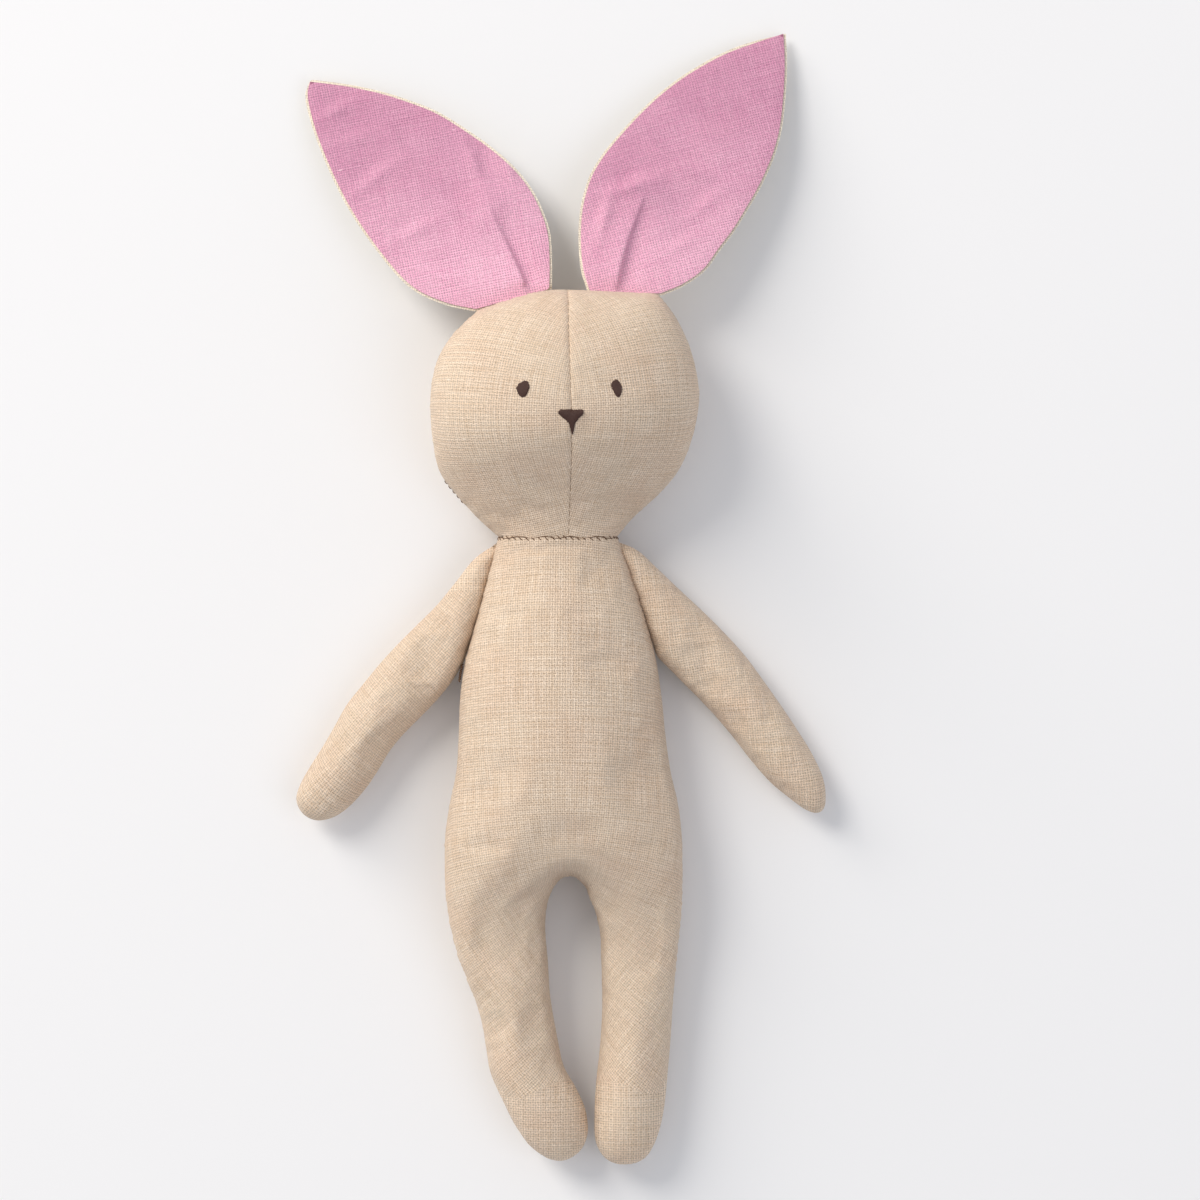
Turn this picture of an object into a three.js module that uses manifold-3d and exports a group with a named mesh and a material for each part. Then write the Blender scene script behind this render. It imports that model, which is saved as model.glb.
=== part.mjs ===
// A sewn linen rabbit doll, lying on its back.
// Millimetres. +Z is up and is the way the doll's front faces, +Y runs from the feet to the ears,
// and +X is the doll's own left. The origin is in the flat of the torso's back, midway between
// the neck seam and the crotch.
import * as THREE from 'three';
import Module from 'manifold-3d';

const wasm = await Module();
wasm.setup();

// ---------- cloth, thread and clearances ----------
const linen = 0.8; // a panel, with the seam allowance turned in behind it
const earLinen = 0.6; // one layer of an ear
const ease = 0.3; // clear gap between two pieces that lie together
const press = 1.2; // how far the filling is flattened where the doll lies on it
const floss = 0.7; // height of the embroidery
const thread = 0.6; // diameter of the doubled sewing thread

// ---------- body: torso and legs, cut in one ----------
const torsoLength = 123.4; // neck seam to crotch
const neckWidth = 43.6;
const neckRise = 14; // front of the neck above its side seams
const neckDrop = 12; // back of the neck below them
const chestWidth = 69;
const waistWidth = 74;
const hipWidth = 86.4;
const bellyRise = 27; // front of the torso above its side seams
const bodySeam = 17; // height of the torso's side seams above the table
const legLength = 103; // crotch to toe
const thighWidth = 36;
const shinWidth = 26.4;
const footWidth = 27;
const legRise = 13.5;
const legSeam = 13.5;
const neckX = -3; // the neck sits a little to the doll's right
const hipX = -1;
const hipDrop = 4.5; // the bending line lies this far below the crotch
const hipForward = 90; // degrees that a leg bends forward, and back
const hipBack = 30;

// ---------- arms ----------
const armLength = 101; // middle of the shoulder seam to the finger end
const shoulderSeam = 47; // length of the seam that holds an arm
const armWidth = 23.4;
const handWidth = 21;
const armRise = 10.5;
const armSeam = 11;
const armRoot = 2.4; // half thickness where the arm is caught in the side seam
const armRelief = 3; // how far the filling stays from the seam that holds an arm, on each side

// ---------- head ----------
const headLength = 88.6; // neck seam to crown
const headWidth = 97.4;
const cheekWidth = 86;
const browWidth = 91;
const templeWidth = 68.4; // across the head just under the ears
const crownWidth = 44.5;
const headRise = 35; // face above the head's side seams
const headSeam = 26;
const crownRise = 6;
const crownX = 11; // the crown slopes down towards the doll's right
const nodForward = 45; // degrees
const nodBack = 30;
const faceSeamX = 1.4;
const faceX = 2; // middle of the eyes and nose
const eyeSpacing = 34;
const eyeHeight = 54; // above the neck seam
const eyeLength = 7;
const eyeWidth = 4.6;
const noseHeight = 41.6;
const noseWidth = 8.6;
const noseLength = 4.5;
const noseTail = 5;

// ---------- ears ----------
const earLength = 114;
const earInner = 32; // widest point from the ear's axis, on the side of the other ear
const earOuter = 22.5;
const earTilt = 12.5; // degrees that an ear droops below level
const earGap = 1.2; // an ear's base from the crown, so that it can fold
// The middle of each ear's base, from the face seam and below the crown, the way that the base
// runs, and the way that the ear points: degrees turned towards the doll's right.
const earSet = {
  left: { x: 19.6, drop: 0.6, baseTurn: 0, splay: -31.5 },
  right: { x: -20.3, drop: 2.4, baseTurn: 15.7, splay: 42.2 },
};

// ---------- fineness ----------
const around = 16; // sides of a stuffed section
const between = 2; // rings from one station to the next
const capRings = 3;

// ---------- places that follow from the sizes ----------
const neckY = torsoLength / 2;
const crotchY = -torsoLength / 2;
const toeY = crotchY - legLength;
const hipY = crotchY - hipDrop;
const hipZ = (bodySeam + legSeam) / 2;
const headY = neckY + ease;
const crownY = headY + headLength;
const rad = THREE.MathUtils.degToRad;
const mix = THREE.MathUtils.lerp;

// ---------- materials ----------
const fabric = (color) => new THREE.MeshStandardMaterial({ color, roughness: 0.92, metalness: 0 });
const oatmealLinen = fabric(0xdcc3a5);
const pinkLinen = fabric(0xdb9cc0);
const naturalLinen = fabric(0xe6d8c4);
const fibrefill = fabric(0xf4f2ee);
const brownFloss = new THREE.MeshStandardMaterial({ color: 0x4a2c22, roughness: 0.6, metalness: 0 });

// ---------- solids ----------
// A closed solid through a row of rings, closed at each end by a fan to one point.
function solidFromRings(rings, startPoint, endPoint) {
  const sides = rings[0].length;
  const points = [...rings.flat(), startPoint, endPoint];
  const startIndex = points.length - 2;
  const endIndex = points.length - 1;
  const lastRing = (rings.length - 1) * sides;
  const faces = [];
  for (let side = 0; side < sides; side++) {
    const next = (side + 1) % sides;
    faces.push(startIndex, next, side);
    faces.push(endIndex, lastRing + side, lastRing + next);
    for (let base = 0; base < lastRing; base += sides) {
      faces.push(base + side, base + next, base + sides + side);
      faces.push(base + next, base + sides + next, base + sides + side);
    }
  }
  const vertProperties = new Float32Array(points.flatMap((p) => [p.x, p.y, p.z]));
  return new wasm.Manifold(new wasm.Mesh({
    numProp: 3,
    vertProperties,
    triVerts: new Uint32Array(faces),
  }));
}

// A straight prism: an outline in two axes, drawn out along the third.
function prism(outline, from, to, place) {
  const ring = (depth) => outline.map(([a, b]) => place(a, b, depth));
  const middle = (points) => points.reduce((sum, p) => sum.add(p), new THREE.Vector3())
    .divideScalar(points.length);
  const rings = [ring(from), ring(to)];
  return solidFromRings(rings, middle(rings[0]), middle(rings[1]));
}

const alongX = (y, z, x) => new THREE.Vector3(x, y, z);
const alongZ = (x, y, z) => new THREE.Vector3(x, y, z);
const wide = 400;

const boxAbove = (height) => prism(
  [[-wide, -wide], [wide, -wide], [wide, wide], [-wide, wide]], height, wide, alongZ);
const boxBetweenY = (from, to) => prism(
  [[from, -wide], [to, -wide], [to, wide], [from, wide]], -wide, wide, alongX);
const boxBetweenX = (from, to) => prism(
  [[-wide, -wide], [wide, -wide], [wide, wide], [-wide, wide]], from, to, alongX);

// ---------- stuffed shapes ----------
// A station is a section of a stuffed shape: its middle x and y, the height of its side seams,
// its width, how far it rises above the seams and drops below them, and, where it isn't square
// to the shape's run, the direction across it.
const station = (x, y, seam, width, rise, drop, across = null) => (
  { x, y, seam, width, rise, drop, across });

const toLeft = new THREE.Vector3(1, 0, 0);
const toRight = new THREE.Vector3(-1, 0, 0);

// The direction across the shape at one station, to the left of its run.
function acrossAt(stations, index) {
  if (stations[index].across) return stations[index].across;
  const before = stations[Math.max(index - 1, 0)];
  const after = stations[Math.min(index + 1, stations.length - 1)];
  return new THREE.Vector3(before.y - after.y, after.x - before.x, 0).normalize();
}

// Smooth curves through the stations: the two side seams, and the rise and drop between them.
function seamCurves(stations) {
  const edge = (side) => new THREE.CatmullRomCurve3(stations.map((s, index) => (
    new THREE.Vector3(s.x, s.y, s.seam)
      .addScaledVector(acrossAt(stations, index), side * s.width / 2))), false, 'catmullrom');
  const swell = new THREE.CatmullRomCurve3(
    stations.map((s) => new THREE.Vector3(s.rise, s.drop, 0)), false, 'catmullrom');
  return { left: edge(1), right: edge(-1), swell };
}

// One section, drawn in by inset and scaled about its middle.
function section(curves, t, inset, scale = 1, shift = new THREE.Vector3()) {
  const left = curves.left.getPoint(t);
  const right = curves.right.getPoint(t);
  const swell = curves.swell.getPoint(t);
  const middle = left.clone().add(right).divideScalar(2);
  const half = left.clone().sub(right).divideScalar(2);
  half.multiplyScalar(scale * (half.length() - inset) / half.length());
  middle.add(shift);
  const ring = [];
  for (let side = 0; side < around; side++) {
    const angle = (2 * Math.PI * side) / around;
    const lift = Math.sin(angle) * scale * ((angle < Math.PI ? swell.x : swell.y) - inset);
    ring.push(middle.clone().addScaledVector(half, Math.cos(angle))
      .add(new THREE.Vector3(0, 0, lift)));
  }
  return { ring, middle };
}

// The stuffed solid. Its start is flat and is moved out by open. Its end is rounded over endCap.
// A positive inset gives the space inside a panel, a negative one a shape that clears it.
function stuffed(stations, { inset = 0, open = 0, endCap = 0 } = {}) {
  const curves = seamCurves(stations);
  const count = between * (stations.length - 1);
  const runAt = (t) => curves.left.getTangent(t).add(curves.right.getTangent(t)).normalize();
  const start = section(curves, 0, inset, 1, runAt(0).multiplyScalar(-open));
  const rings = open ? [start.ring] : [];
  for (let step = 0; step <= count; step++) rings.push(section(curves, step / count, inset).ring);
  const reach = endCap - inset;
  for (let cap = 1; cap < capRings; cap++) {
    const angle = (Math.PI / 2) * (cap / capRings);
    const shift = runAt(1).multiplyScalar(reach * Math.sin(angle));
    rings.push(section(curves, 1, inset, Math.cos(angle), shift).ring);
  }
  const end = section(curves, 1, inset).middle.addScaledVector(runAt(1), reach);
  return solidFromRings(rings, start.middle, end);
}

// Everything above a shape's side seams, moved up by lift: the seam surface lies across the shape
// at seam height, and is carried on past its edges and ends.
function aboveSeams(stations, lift) {
  const curves = seamCurves(stations);
  const count = between * (stations.length - 1);
  const margin = 1.2;
  const beyond = 24;
  const ringAt = (t, shift) => {
    const run = curves.left.getTangent(t).add(curves.right.getTangent(t)).setZ(0).normalize();
    const left = curves.left.getPoint(t).addScaledVector(run, shift);
    const right = curves.right.getPoint(t).addScaledVector(run, shift);
    const side = left.clone().sub(right).setLength(margin);
    left.add(side);
    right.sub(side);
    return [
      new THREE.Vector3(left.x, left.y, left.z + lift), new THREE.Vector3(left.x, left.y, wide),
      new THREE.Vector3(right.x, right.y, wide), new THREE.Vector3(right.x, right.y, right.z + lift),
    ];
  };
  const rings = [ringAt(0, -beyond)];
  for (let step = 0; step <= count; step++) rings.push(ringAt(step / count, 0));
  rings.push(ringAt(1, beyond));
  const middle = (ring) => ring[0].clone().add(ring[2]).divideScalar(2);
  return solidFromRings(rings, middle(rings[0]), middle(rings[rings.length - 1]));
}
// A panel is the one large piece that the cut leaves: offcuts at the seams' ends fall away.
const largest = (solid) => solid.decompose().sort((a, b) => b.volume() - a.volume())[0];
const frontHalf = (shell, stations) => largest(shell.intersect(aboveSeams(stations, ease / 2)));
const backHalf = (shell, stations) => largest(shell.subtract(aboveSeams(stations, -ease / 2)));

// ---------- body ----------
// The side seams come down from the torso's height to the legs' height at the hips.
const bodySeamAt = (y) => (
  mix(legSeam, bodySeam, THREE.MathUtils.smoothstep(y, hipY - 25, hipY + 15)));

const torsoStation = (share, width, rise, drop = bodySeam + press) => station(
  mix(neckX, hipX, share), mix(neckY, crotchY, share), bodySeam, width, rise, drop, toLeft);
const seatCap = 24; // the torso's rounded end, down to the crotch
const seatShare = 1 - seatCap / torsoLength;
const torsoStations = [
  torsoStation(0, neckWidth, neckRise, neckDrop),
  torsoStation(0.17, (neckWidth + chestWidth) / 2, mix(neckRise, bellyRise, 0.6)),
  torsoStation(0.37, chestWidth, 0.96 * bellyRise),
  torsoStation(0.57, waistWidth, bellyRise),
  torsoStation(seatShare, mix(waistWidth, hipWidth, 0.8), 0.97 * bellyRise),
];

// A leg starts inside the torso, clear of its skin, and runs to the foot, which is rounded over
// its last stretch.
const toeCap = 17;
const legStation = (x, share, width, rise, drop = null) => {
  const y = mix(crotchY, toeY, share);
  const seam = bodySeamAt(y);
  return station(x, y, seam, width, rise, drop ?? seam + press);
};
const ankleShare = 1 - toeCap / legLength;
const hipEdge = hipWidth / 2; // the outer edge of a leg where the torso rounds off
const topWidth = thighWidth - 2; // a leg's upper end, hidden in the torso
// spread holds the middle of the leg at the later stations, measured from hipX.
const legStations = (side, spread) => [
  legStation(hipX + side * (0.89 * hipEdge - topWidth / 2), -0.38, topWidth,
    0.6 * bellyRise, 0.76 * bodySeam),
  legStation(hipX + side * (hipEdge - thighWidth / 2), -0.1, thighWidth,
    0.7 * bellyRise, 0.9 * bodySeam),
  legStation(hipX + side * spread[0], 0.1, thighWidth, 1.15 * legRise),
  legStation(hipX + side * spread[1], 0.25, mix(shinWidth, thighWidth, 0.55), 1.1 * legRise),
  legStation(hipX + side * spread[2], 0.4, shinWidth + 1, 1.05 * legRise),
  legStation(hipX + side * spread[3], 0.53, shinWidth, legRise),
  legStation(hipX + side * spread[4], 0.67, footWidth, legRise),
  legStation(hipX + side * spread[5], ankleShare, footWidth - 1.5, legRise),
];
const legSpread = {
  left: [25.9, 26.9, 26.7, 26.2, 25.2, 23.4],
  right: [23.9, 22.2, 18.8, 15.3, 12.4, 4.7],
};
const legSides = { left: legStations(1, legSpread.left), right: legStations(-1, legSpread.right) };

// A panel's inner face lies inset inside the outer one. The table flattens the back.
const legShape = (side, inset) => stuffed(legSides[side], { inset, endCap: toeCap })
  .intersect(boxAbove(inset));
const openEnd = 5; // a panel's inner face is carried on past the end that is sewn to its neighbour
const bodyShape = (inset, open) => stuffed(torsoStations, { inset, open, endCap: seatCap })
  .intersect(boxAbove(inset))
  .add(legShape('left', inset))
  .add(legShape('right', inset));
// One wide run of sections carries the side seams of the torso and both legs.
const bodySeams = [neckY, hipY + 20, hipY, hipY - 30, toeY].map((y) => (
  station(hipX, y, bodySeamAt(y), 1.4 * hipWidth, 0, 0, toLeft)));

const bodyShell = bodyShape(0, 0).subtract(bodyShape(linen, openEnd));

// A wedge each side of a bending line, so that the filling can fold there by these angles.
function foldWedge(y, z, front, back) {
  const reach = 60;
  const half = ease / 2;
  const corner = (sign, degrees, height) => (
    [y + sign * (half + reach * Math.tan(rad(degrees))), z + height * reach]);
  return prism([
    corner(-1, back, -1), corner(1, back, -1), [y + half, z],
    corner(1, front, 1), corner(-1, front, 1), [y - half, z],
  ], -wide, wide, alongX);
}
const hipWedge = foldWedge(hipY, hipZ, hipForward / 2, hipBack / 2);
const neckWedge = foldWedge(neckY, bodySeam, nodForward, nodBack);

// The shoulder seam runs from the corner of the neck down the torso's side.
function shoulder(side) {
  const curves = seamCurves(torsoStations);
  const edge = side === 'left' ? curves.left : curves.right;
  const top = edge.getPoint(0);
  let t = 0;
  while (edge.getPoint(t).distanceTo(top) < shoulderSeam) t += 0.002;
  const armpit = edge.getPoint(t);
  const down = armpit.clone().sub(top).normalize();
  const sign = side === 'left' ? 1 : -1;
  const outward = new THREE.Vector3(-sign * down.y, sign * down.x, 0);
  return { edge, t, top, armpit, down, outward };
}

// A prism along the shoulder seam and a little past its ends, from an outline in the distances
// outward from the seam and up from it.
function alongShoulder(side, outline) {
  const { top, down, outward } = shoulder(side);
  const past = 12;
  const ends = side === 'left' ? [-past, shoulderSeam + past] : [shoulderSeam + past, -past];
  return prism(outline, ...ends, (out, up, along) => top.clone()
    .addScaledVector(outward, out).addScaledVector(down, along).setZ(top.z + up));
}
// The torso's filling stops short of an arm's seam, and slopes back above it, so that the arm can
// swing forward.
const shoulderRelief = (side) => alongShoulder(side, [
  [-armRelief, -wide], [wide, -wide], [wide, wide], [-armRelief - wide / 4, wide], [-armRelief, 0],
]);

const torsoStuffing = () => bodyShape(linen + ease, 0)
  .intersect(boxBetweenY(hipY, neckY - ease))
  .subtract(hipWedge)
  .subtract(neckWedge)
  .subtract(shoulderRelief('left'))
  .subtract(shoulderRelief('right'));

const legStuffing = (side) => legShape(side, linen + ease)
  .intersect(boxBetweenY(-wide, hipY))
  .subtract(hipWedge);

// ---------- arms ----------
const handCap = 10;
const rootGap = 1.8; // the arm's root from the side seam, clear of the torso's skin
const armBend = { left: [44.5, 47, 53, 53], right: [48, 49, 56, 54] };
function armStations(side) {
  const sign = side === 'left' ? 1 : -1;
  const { top, armpit, down } = shoulder(side);
  const across = down.clone().multiplyScalar(-sign);
  const root = top.clone().add(armpit).divideScalar(2);
  root.x += sign * rootGap;
  // the arm's run turns a little at each station: degrees below level, towards the feet
  const leg = (armLength - handCap) / armBend[side].length;
  const points = [root];
  armBend[side].forEach((degrees) => {
    const run = new THREE.Vector3(sign * Math.cos(rad(degrees)), -Math.sin(rad(degrees)), 0);
    points.push(points[points.length - 1].clone().addScaledVector(run, leg));
  });
  const at = (index, width, rise, seam, direction = null) => station(
    points[index].x, points[index].y, seam, width, rise,
    Math.min(rise, seam) + (index > 1 ? press : 0), direction);
  return [
    at(0, shoulderSeam - 2, armRoot, bodySeam, across),
    at(1, mix(armWidth, shoulderSeam, 0.12), 0.85 * armRise, mix(bodySeam, armSeam, 0.7)),
    at(2, armWidth, armRise, armSeam),
    at(3, armWidth, armRise, armSeam),
    at(4, handWidth, 0.93 * armRise, armSeam),
  ];
}

const rootRelief = (side) => alongShoulder(side, [
  [-wide, -wide], [rootGap + armRelief, -wide], [rootGap + armRelief, wide], [-wide, wide],
]);

function arm(side) {
  const stations = armStations(side);
  const shape = (inset, open) => stuffed(stations, { inset, open, endCap: handCap })
    .intersect(boxAbove(inset));
  const shell = shape(0, 0).subtract(shape(linen, openEnd));
  return {
    front: frontHalf(shell, stations),
    back: backHalf(shell, stations),
    stuffing: shape(linen + ease, 0).subtract(rootRelief(side)),
  };
}

// ---------- head ----------
const headSeamAt = (y) => (
  mix(bodySeam, headSeam, THREE.MathUtils.smoothstep(y, headY, headY + 0.5 * headLength)));
const headStation = (share, x, width, rise, drop) => {
  const y = mix(headY, crownY, share);
  const seam = headSeamAt(y);
  return station(x, y, seam, width, rise, drop ?? seam + press, toRight);
};
const headStations = [
  headStation(0, neckX, neckWidth, neckRise, neckDrop),
  headStation(0.11, neckX - 0.6, mix(neckWidth, cheekWidth, 0.36), mix(neckRise, headRise, 0.45)),
  headStation(0.27, neckX, cheekWidth, 0.88 * headRise),
  headStation(0.52, -0.4, headWidth, headRise),
  headStation(0.74, -0.4, browWidth, 0.87 * headRise, 0.85 * headSeam),
  headStation(0.92, 2.5, templeWidth, 0.5 * headRise, 0.45 * headSeam),
  headStation(0.985, crownX, crownWidth, crownRise, crownRise),
];
const crownCap = 0.015 * headLength;
const headShape = (inset, open) => stuffed(headStations, { inset, open, endCap: crownCap })
  .intersect(boxAbove(inset));

const headShell = headShape(0, 0).subtract(headShape(linen, openEnd));
const headStuffing = () => headShape(linen + ease, 0).intersect(boxBetweenY(headY + ease, wide));

function headPanels() {
  const front = frontHalf(headShell, headStations);
  return {
    left: front.intersect(boxBetweenX(faceSeamX + ease / 2, wide)),
    right: front.intersect(boxBetweenX(-wide, faceSeamX - ease / 2)),
    back: backHalf(headShell, headStations),
  };
}

// Embroidery: an outline on the face, as a thin layer that follows the face.
function embroidery(outline) {
  const layer = headShape(-ease - floss, 0).subtract(headShape(-ease, 1));
  return prism(outline, headSeam + headRise / 2, wide, alongZ).intersect(layer);
}

function eyeOutline(side) {
  const x = faceX + (side === 'left' ? 0.5 : -0.5) * eyeSpacing;
  const curve = new THREE.EllipseCurve(x, headY + eyeHeight, eyeWidth / 2, eyeLength / 2);
  return curve.getPoints(16).slice(0, 16).map((p) => [p.x, p.y]);
}

// A triangle with its point down and a short tail below it.
function noseOutline() {
  const y = headY + noseHeight;
  const x = faceX;
  const half = noseWidth / 2;
  const tail = 0.5;
  return [
    [x - tail, y - noseTail], [x + tail, y - noseTail], [x + 2 * tail, y],
    [x + half, y + 0.6 * noseLength], [x + 0.9 * half, y + noseLength],
    [x - 0.9 * half, y + noseLength], [x - half, y + 0.6 * noseLength], [x - 2 * tail, y],
  ];
}

// ---------- hand stitches ----------
// A thread is a closed or open tube of a small round section along a wandering line.
function threadSolid(points, closed) {
  const path = new THREE.CatmullRomCurve3(points, closed, 'catmullrom');
  const disc = new THREE.Shape();
  disc.absarc(0, 0, thread / 2, 0, 2 * Math.PI);
  const tube = new THREE.ExtrudeGeometry(disc, {
    steps: points.length * 2, extrudePath: path, curveSegments: 3, bevelEnabled: false,
  });
  return tube;
}

// The ladder stitch that joins the neck: a zigzag all round it, across the seam.
const stitchPitch = 5;
function neckStitching() {
  const clear = ease + thread / 2;
  const halfWidth = neckWidth / 2 + clear + 0.4;
  const girth = Math.PI * (halfWidth + (neckRise + neckDrop) / 2);
  const count = 2 * Math.round(girth / stitchPitch);
  const points = [];
  for (let index = 0; index < count; index++) {
    const angle = (2 * Math.PI * index) / count;
    const lift = angle < Math.PI ? neckRise : neckDrop;
    const overHead = index % 2 ? 1 : -1;
    points.push(new THREE.Vector3(
      neckX + (halfWidth + 0.5) * Math.cos(angle),
      neckY + ease / 2 + overHead * stitchPitch / 5,
      bodySeam + (lift + clear + 1.1) * Math.sin(angle)));
  }
  return threadSolid(points, true);
}

// A zigzag along part of a side seam, just outside it: the hand-closed turning opening.
function closingStitches(edge, from, to, count) {
  const points = [];
  for (let index = 0; index <= count; index++) {
    const t = mix(from, to, index / count);
    const run = edge.getTangent(t);
    const outward = new THREE.Vector3(-run.y, run.x, 0).normalize();
    const point = edge.getPoint(t).addScaledVector(outward, thread / 2 + 2 * ease);
    points.push(point.add(new THREE.Vector3(0, 0, index % 2 ? 1 : -1)));
  }
  return threadSolid(points, false);
}
const headClosing = () => closingStitches(seamCurves(headStations).left, 0.2, 0.36, 8);

// The knot that ends the side seam's hand stitching, just below the doll's right armpit.
function armpitKnot() {
  const { edge, t } = shoulder('right');
  const at = t + 0.05;
  const run = edge.getTangent(at);
  const outward = new THREE.Vector3(run.y, -run.x, 0).normalize();
  const size = 0.7;
  const clear = 1.5 * size + thread / 2 + 2 * ease;
  const place = edge.getPoint(at).addScaledVector(outward, clear);
  return new THREE.TorusKnotGeometry(size, thread / 2, 40, 6, 2, 3).translate(...place.toArray());
}

// ---------- ears ----------
// A leaf about the ear's axis, from inside the crown to the tip. The outline bulges more on the
// side of the other ear.
function earShape(grow) {
  const inner = (along, out) => new THREE.Vector2(
    -(out * earInner + grow), along * earLength);
  const outer = (along, out) => new THREE.Vector2(out * earOuter + grow, along * earLength);
  const tip = new THREE.Vector2(0, earLength + grow);
  const leaf = new THREE.Shape();
  leaf.moveTo(inner(-0.07, 0.3).x, inner(-0.07, 0.3).y);
  leaf.splineThru([
    inner(0.03, 0.64), inner(0.15, 0.88), inner(0.31, 1), inner(0.55, 0.86), inner(0.8, 0.47), tip,
  ]);
  leaf.splineThru([
    outer(0.78, 0.58), outer(0.56, 0.93), outer(0.36, 1), outer(0.16, 0.86), outer(0.02, 0.42),
  ]);
  leaf.closePath();
  return leaf;
}

// The middle of an ear's base, just off the crown, and the way along the base.
function earBase(side) {
  const { x, drop, baseTurn } = earSet[side];
  const along = new THREE.Vector3(Math.cos(rad(baseTurn)), Math.sin(rad(baseTurn)), 0);
  const outward = new THREE.Vector3(-along.y, along.x, 0);
  const middle = new THREE.Vector3(faceSeamX + x, crownY - drop, headSeam);
  return { middle: middle.addScaledVector(outward, earGap), along, outward };
}

// The frame that an ear is drawn in: it hangs from its base line and droops.
function earFrame(side) {
  const { baseTurn, splay } = earSet[side];
  return new THREE.Matrix4().setPosition(earBase(side).middle)
    .multiply(new THREE.Matrix4().makeRotationZ(rad(baseTurn)))
    .multiply(new THREE.Matrix4().makeRotationX(-rad(earTilt)))
    .multiply(new THREE.Matrix4().makeRotationZ(rad(splay - baseTurn)));
}

// Everything on the head's side of an ear's base line.
function headSideOf(side) {
  const { middle, along, outward } = earBase(side);
  const corner = (a, b) => {
    const point = middle.clone().addScaledVector(along, a).addScaledVector(outward, b);
    return [point.x, point.y];
  };
  return prism([corner(-wide, -wide), corner(wide, -wide), corner(wide, 0), corner(-wide, 0)],
    -wide, wide, alongZ);
}

// One layer of an ear, cut off along its base.
function earLayer(side, grow, from) {
  const geometry = new THREE.ExtrudeGeometry(earShape(grow), {
    depth: earLinen, bevelEnabled: false, curveSegments: 5,
  });
  geometry.translate(0, 0, from);
  if (side === 'right') geometry.scale(-1, 1, 1);
  geometry.applyMatrix4(earFrame(side));
  return solidFromGeometry(geometry, side === 'right').subtract(headSideOf(side));
}
const earLining = (side) => earLayer(side, 0, ease / 2);
const earBack = (side) => earLayer(side, 0.8, -ease / 2 - earLinen);

// ---------- geometry in and out of solids ----------
// Vertices at one place become one, which a solid needs.
function solidFromGeometry(geometry, mirrored = false) {
  const position = geometry.getAttribute('position');
  const index = geometry.index ? [...geometry.index.array] : [...position.array.keys()]
    .slice(0, position.count);
  const places = new Map();
  const vertices = [];
  const vertexAt = (corner) => {
    const p = new THREE.Vector3().fromBufferAttribute(position, corner);
    const key = p.toArray().map((value) => Math.round(value * 1e4)).join();
    if (!places.has(key)) {
      places.set(key, vertices.length / 3);
      vertices.push(p.x, p.y, p.z);
    }
    return places.get(key);
  };
  const corners = index.map(vertexAt);
  const faces = [];
  for (let face = 0; face < corners.length; face += 3) {
    const [a, b, c] = corners.slice(face, face + 3);
    const flat = a === b || b === c || c === a;
    if (!flat) faces.push(...(mirrored ? [a, c, b] : [a, b, c]));
  }
  return new wasm.Manifold(new wasm.Mesh({
    numProp: 3,
    vertProperties: new Float32Array(vertices),
    triVerts: new Uint32Array(faces),
  }));
}

function geometryFromSolid(solid) {
  const mesh = solid.getMesh();
  const geometry = new THREE.BufferGeometry();
  geometry.setAttribute('position', new THREE.BufferAttribute(mesh.vertProperties.slice(), 3));
  geometry.setIndex(new THREE.BufferAttribute(mesh.triVerts.slice(), 1));
  geometry.computeVertexNormals();
  return geometry;
}

// ---------- the doll ----------
const doll = new THREE.Group();
function add(name, shape, material) {
  const geometry = shape.isBufferGeometry ? shape : geometryFromSolid(shape);
  const mesh = new THREE.Mesh(geometry, material);
  mesh.name = name;
  doll.add(mesh);
}

add('body_front_panel', frontHalf(bodyShell, bodySeams), oatmealLinen);
add('body_back_panel', backHalf(bodyShell, bodySeams), oatmealLinen);
add('torso_stuffing', torsoStuffing(), fibrefill);
add('neck_stitching', neckStitching(), brownFloss);
add('armpit_knot', armpitKnot(), brownFloss);

const panels = headPanels();
add('face_panel_left', panels.left, oatmealLinen);
add('face_panel_right', panels.right, oatmealLinen);
add('head_back_panel', panels.back, oatmealLinen);
add('head_stuffing', headStuffing(), fibrefill);
add('head_closing_stitches', headClosing(), brownFloss);
add('nose', embroidery(noseOutline()), brownFloss);

for (const side of ['left', 'right']) {
  const pieces = arm(side);
  add(`leg_${side}_stuffing`, legStuffing(side), fibrefill);
  add(`arm_${side}_front_panel`, pieces.front, oatmealLinen);
  add(`arm_${side}_back_panel`, pieces.back, oatmealLinen);
  add(`arm_${side}_stuffing`, pieces.stuffing, fibrefill);
  add(`eye_${side}`, embroidery(eyeOutline(side)), brownFloss);
  add(`ear_${side}_lining`, earLining(side), pinkLinen);
  add(`ear_${side}_back`, earBack(side), naturalLinen);
}

export default doll;
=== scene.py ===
# %% [markdown]
# # A sewn linen rabbit doll
# The doll is made as its maker makes it: flat outlines of linen, filled until they swell, with
# the seams, embroidery and hand stitches put on afterwards. It lies on its back on a table.
# The imported model gives the solids that the pieces stand for. All places are metres
# in the model's frame, and the pattern below is drawn in millimetres because sewing is.

# %% Load the imported model
import bpy
import math
import numpy as np
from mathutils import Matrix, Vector
from mathutils.bvhtree import BVHTree
from mathutils.geometry import delaunay_2d_cdt


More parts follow.
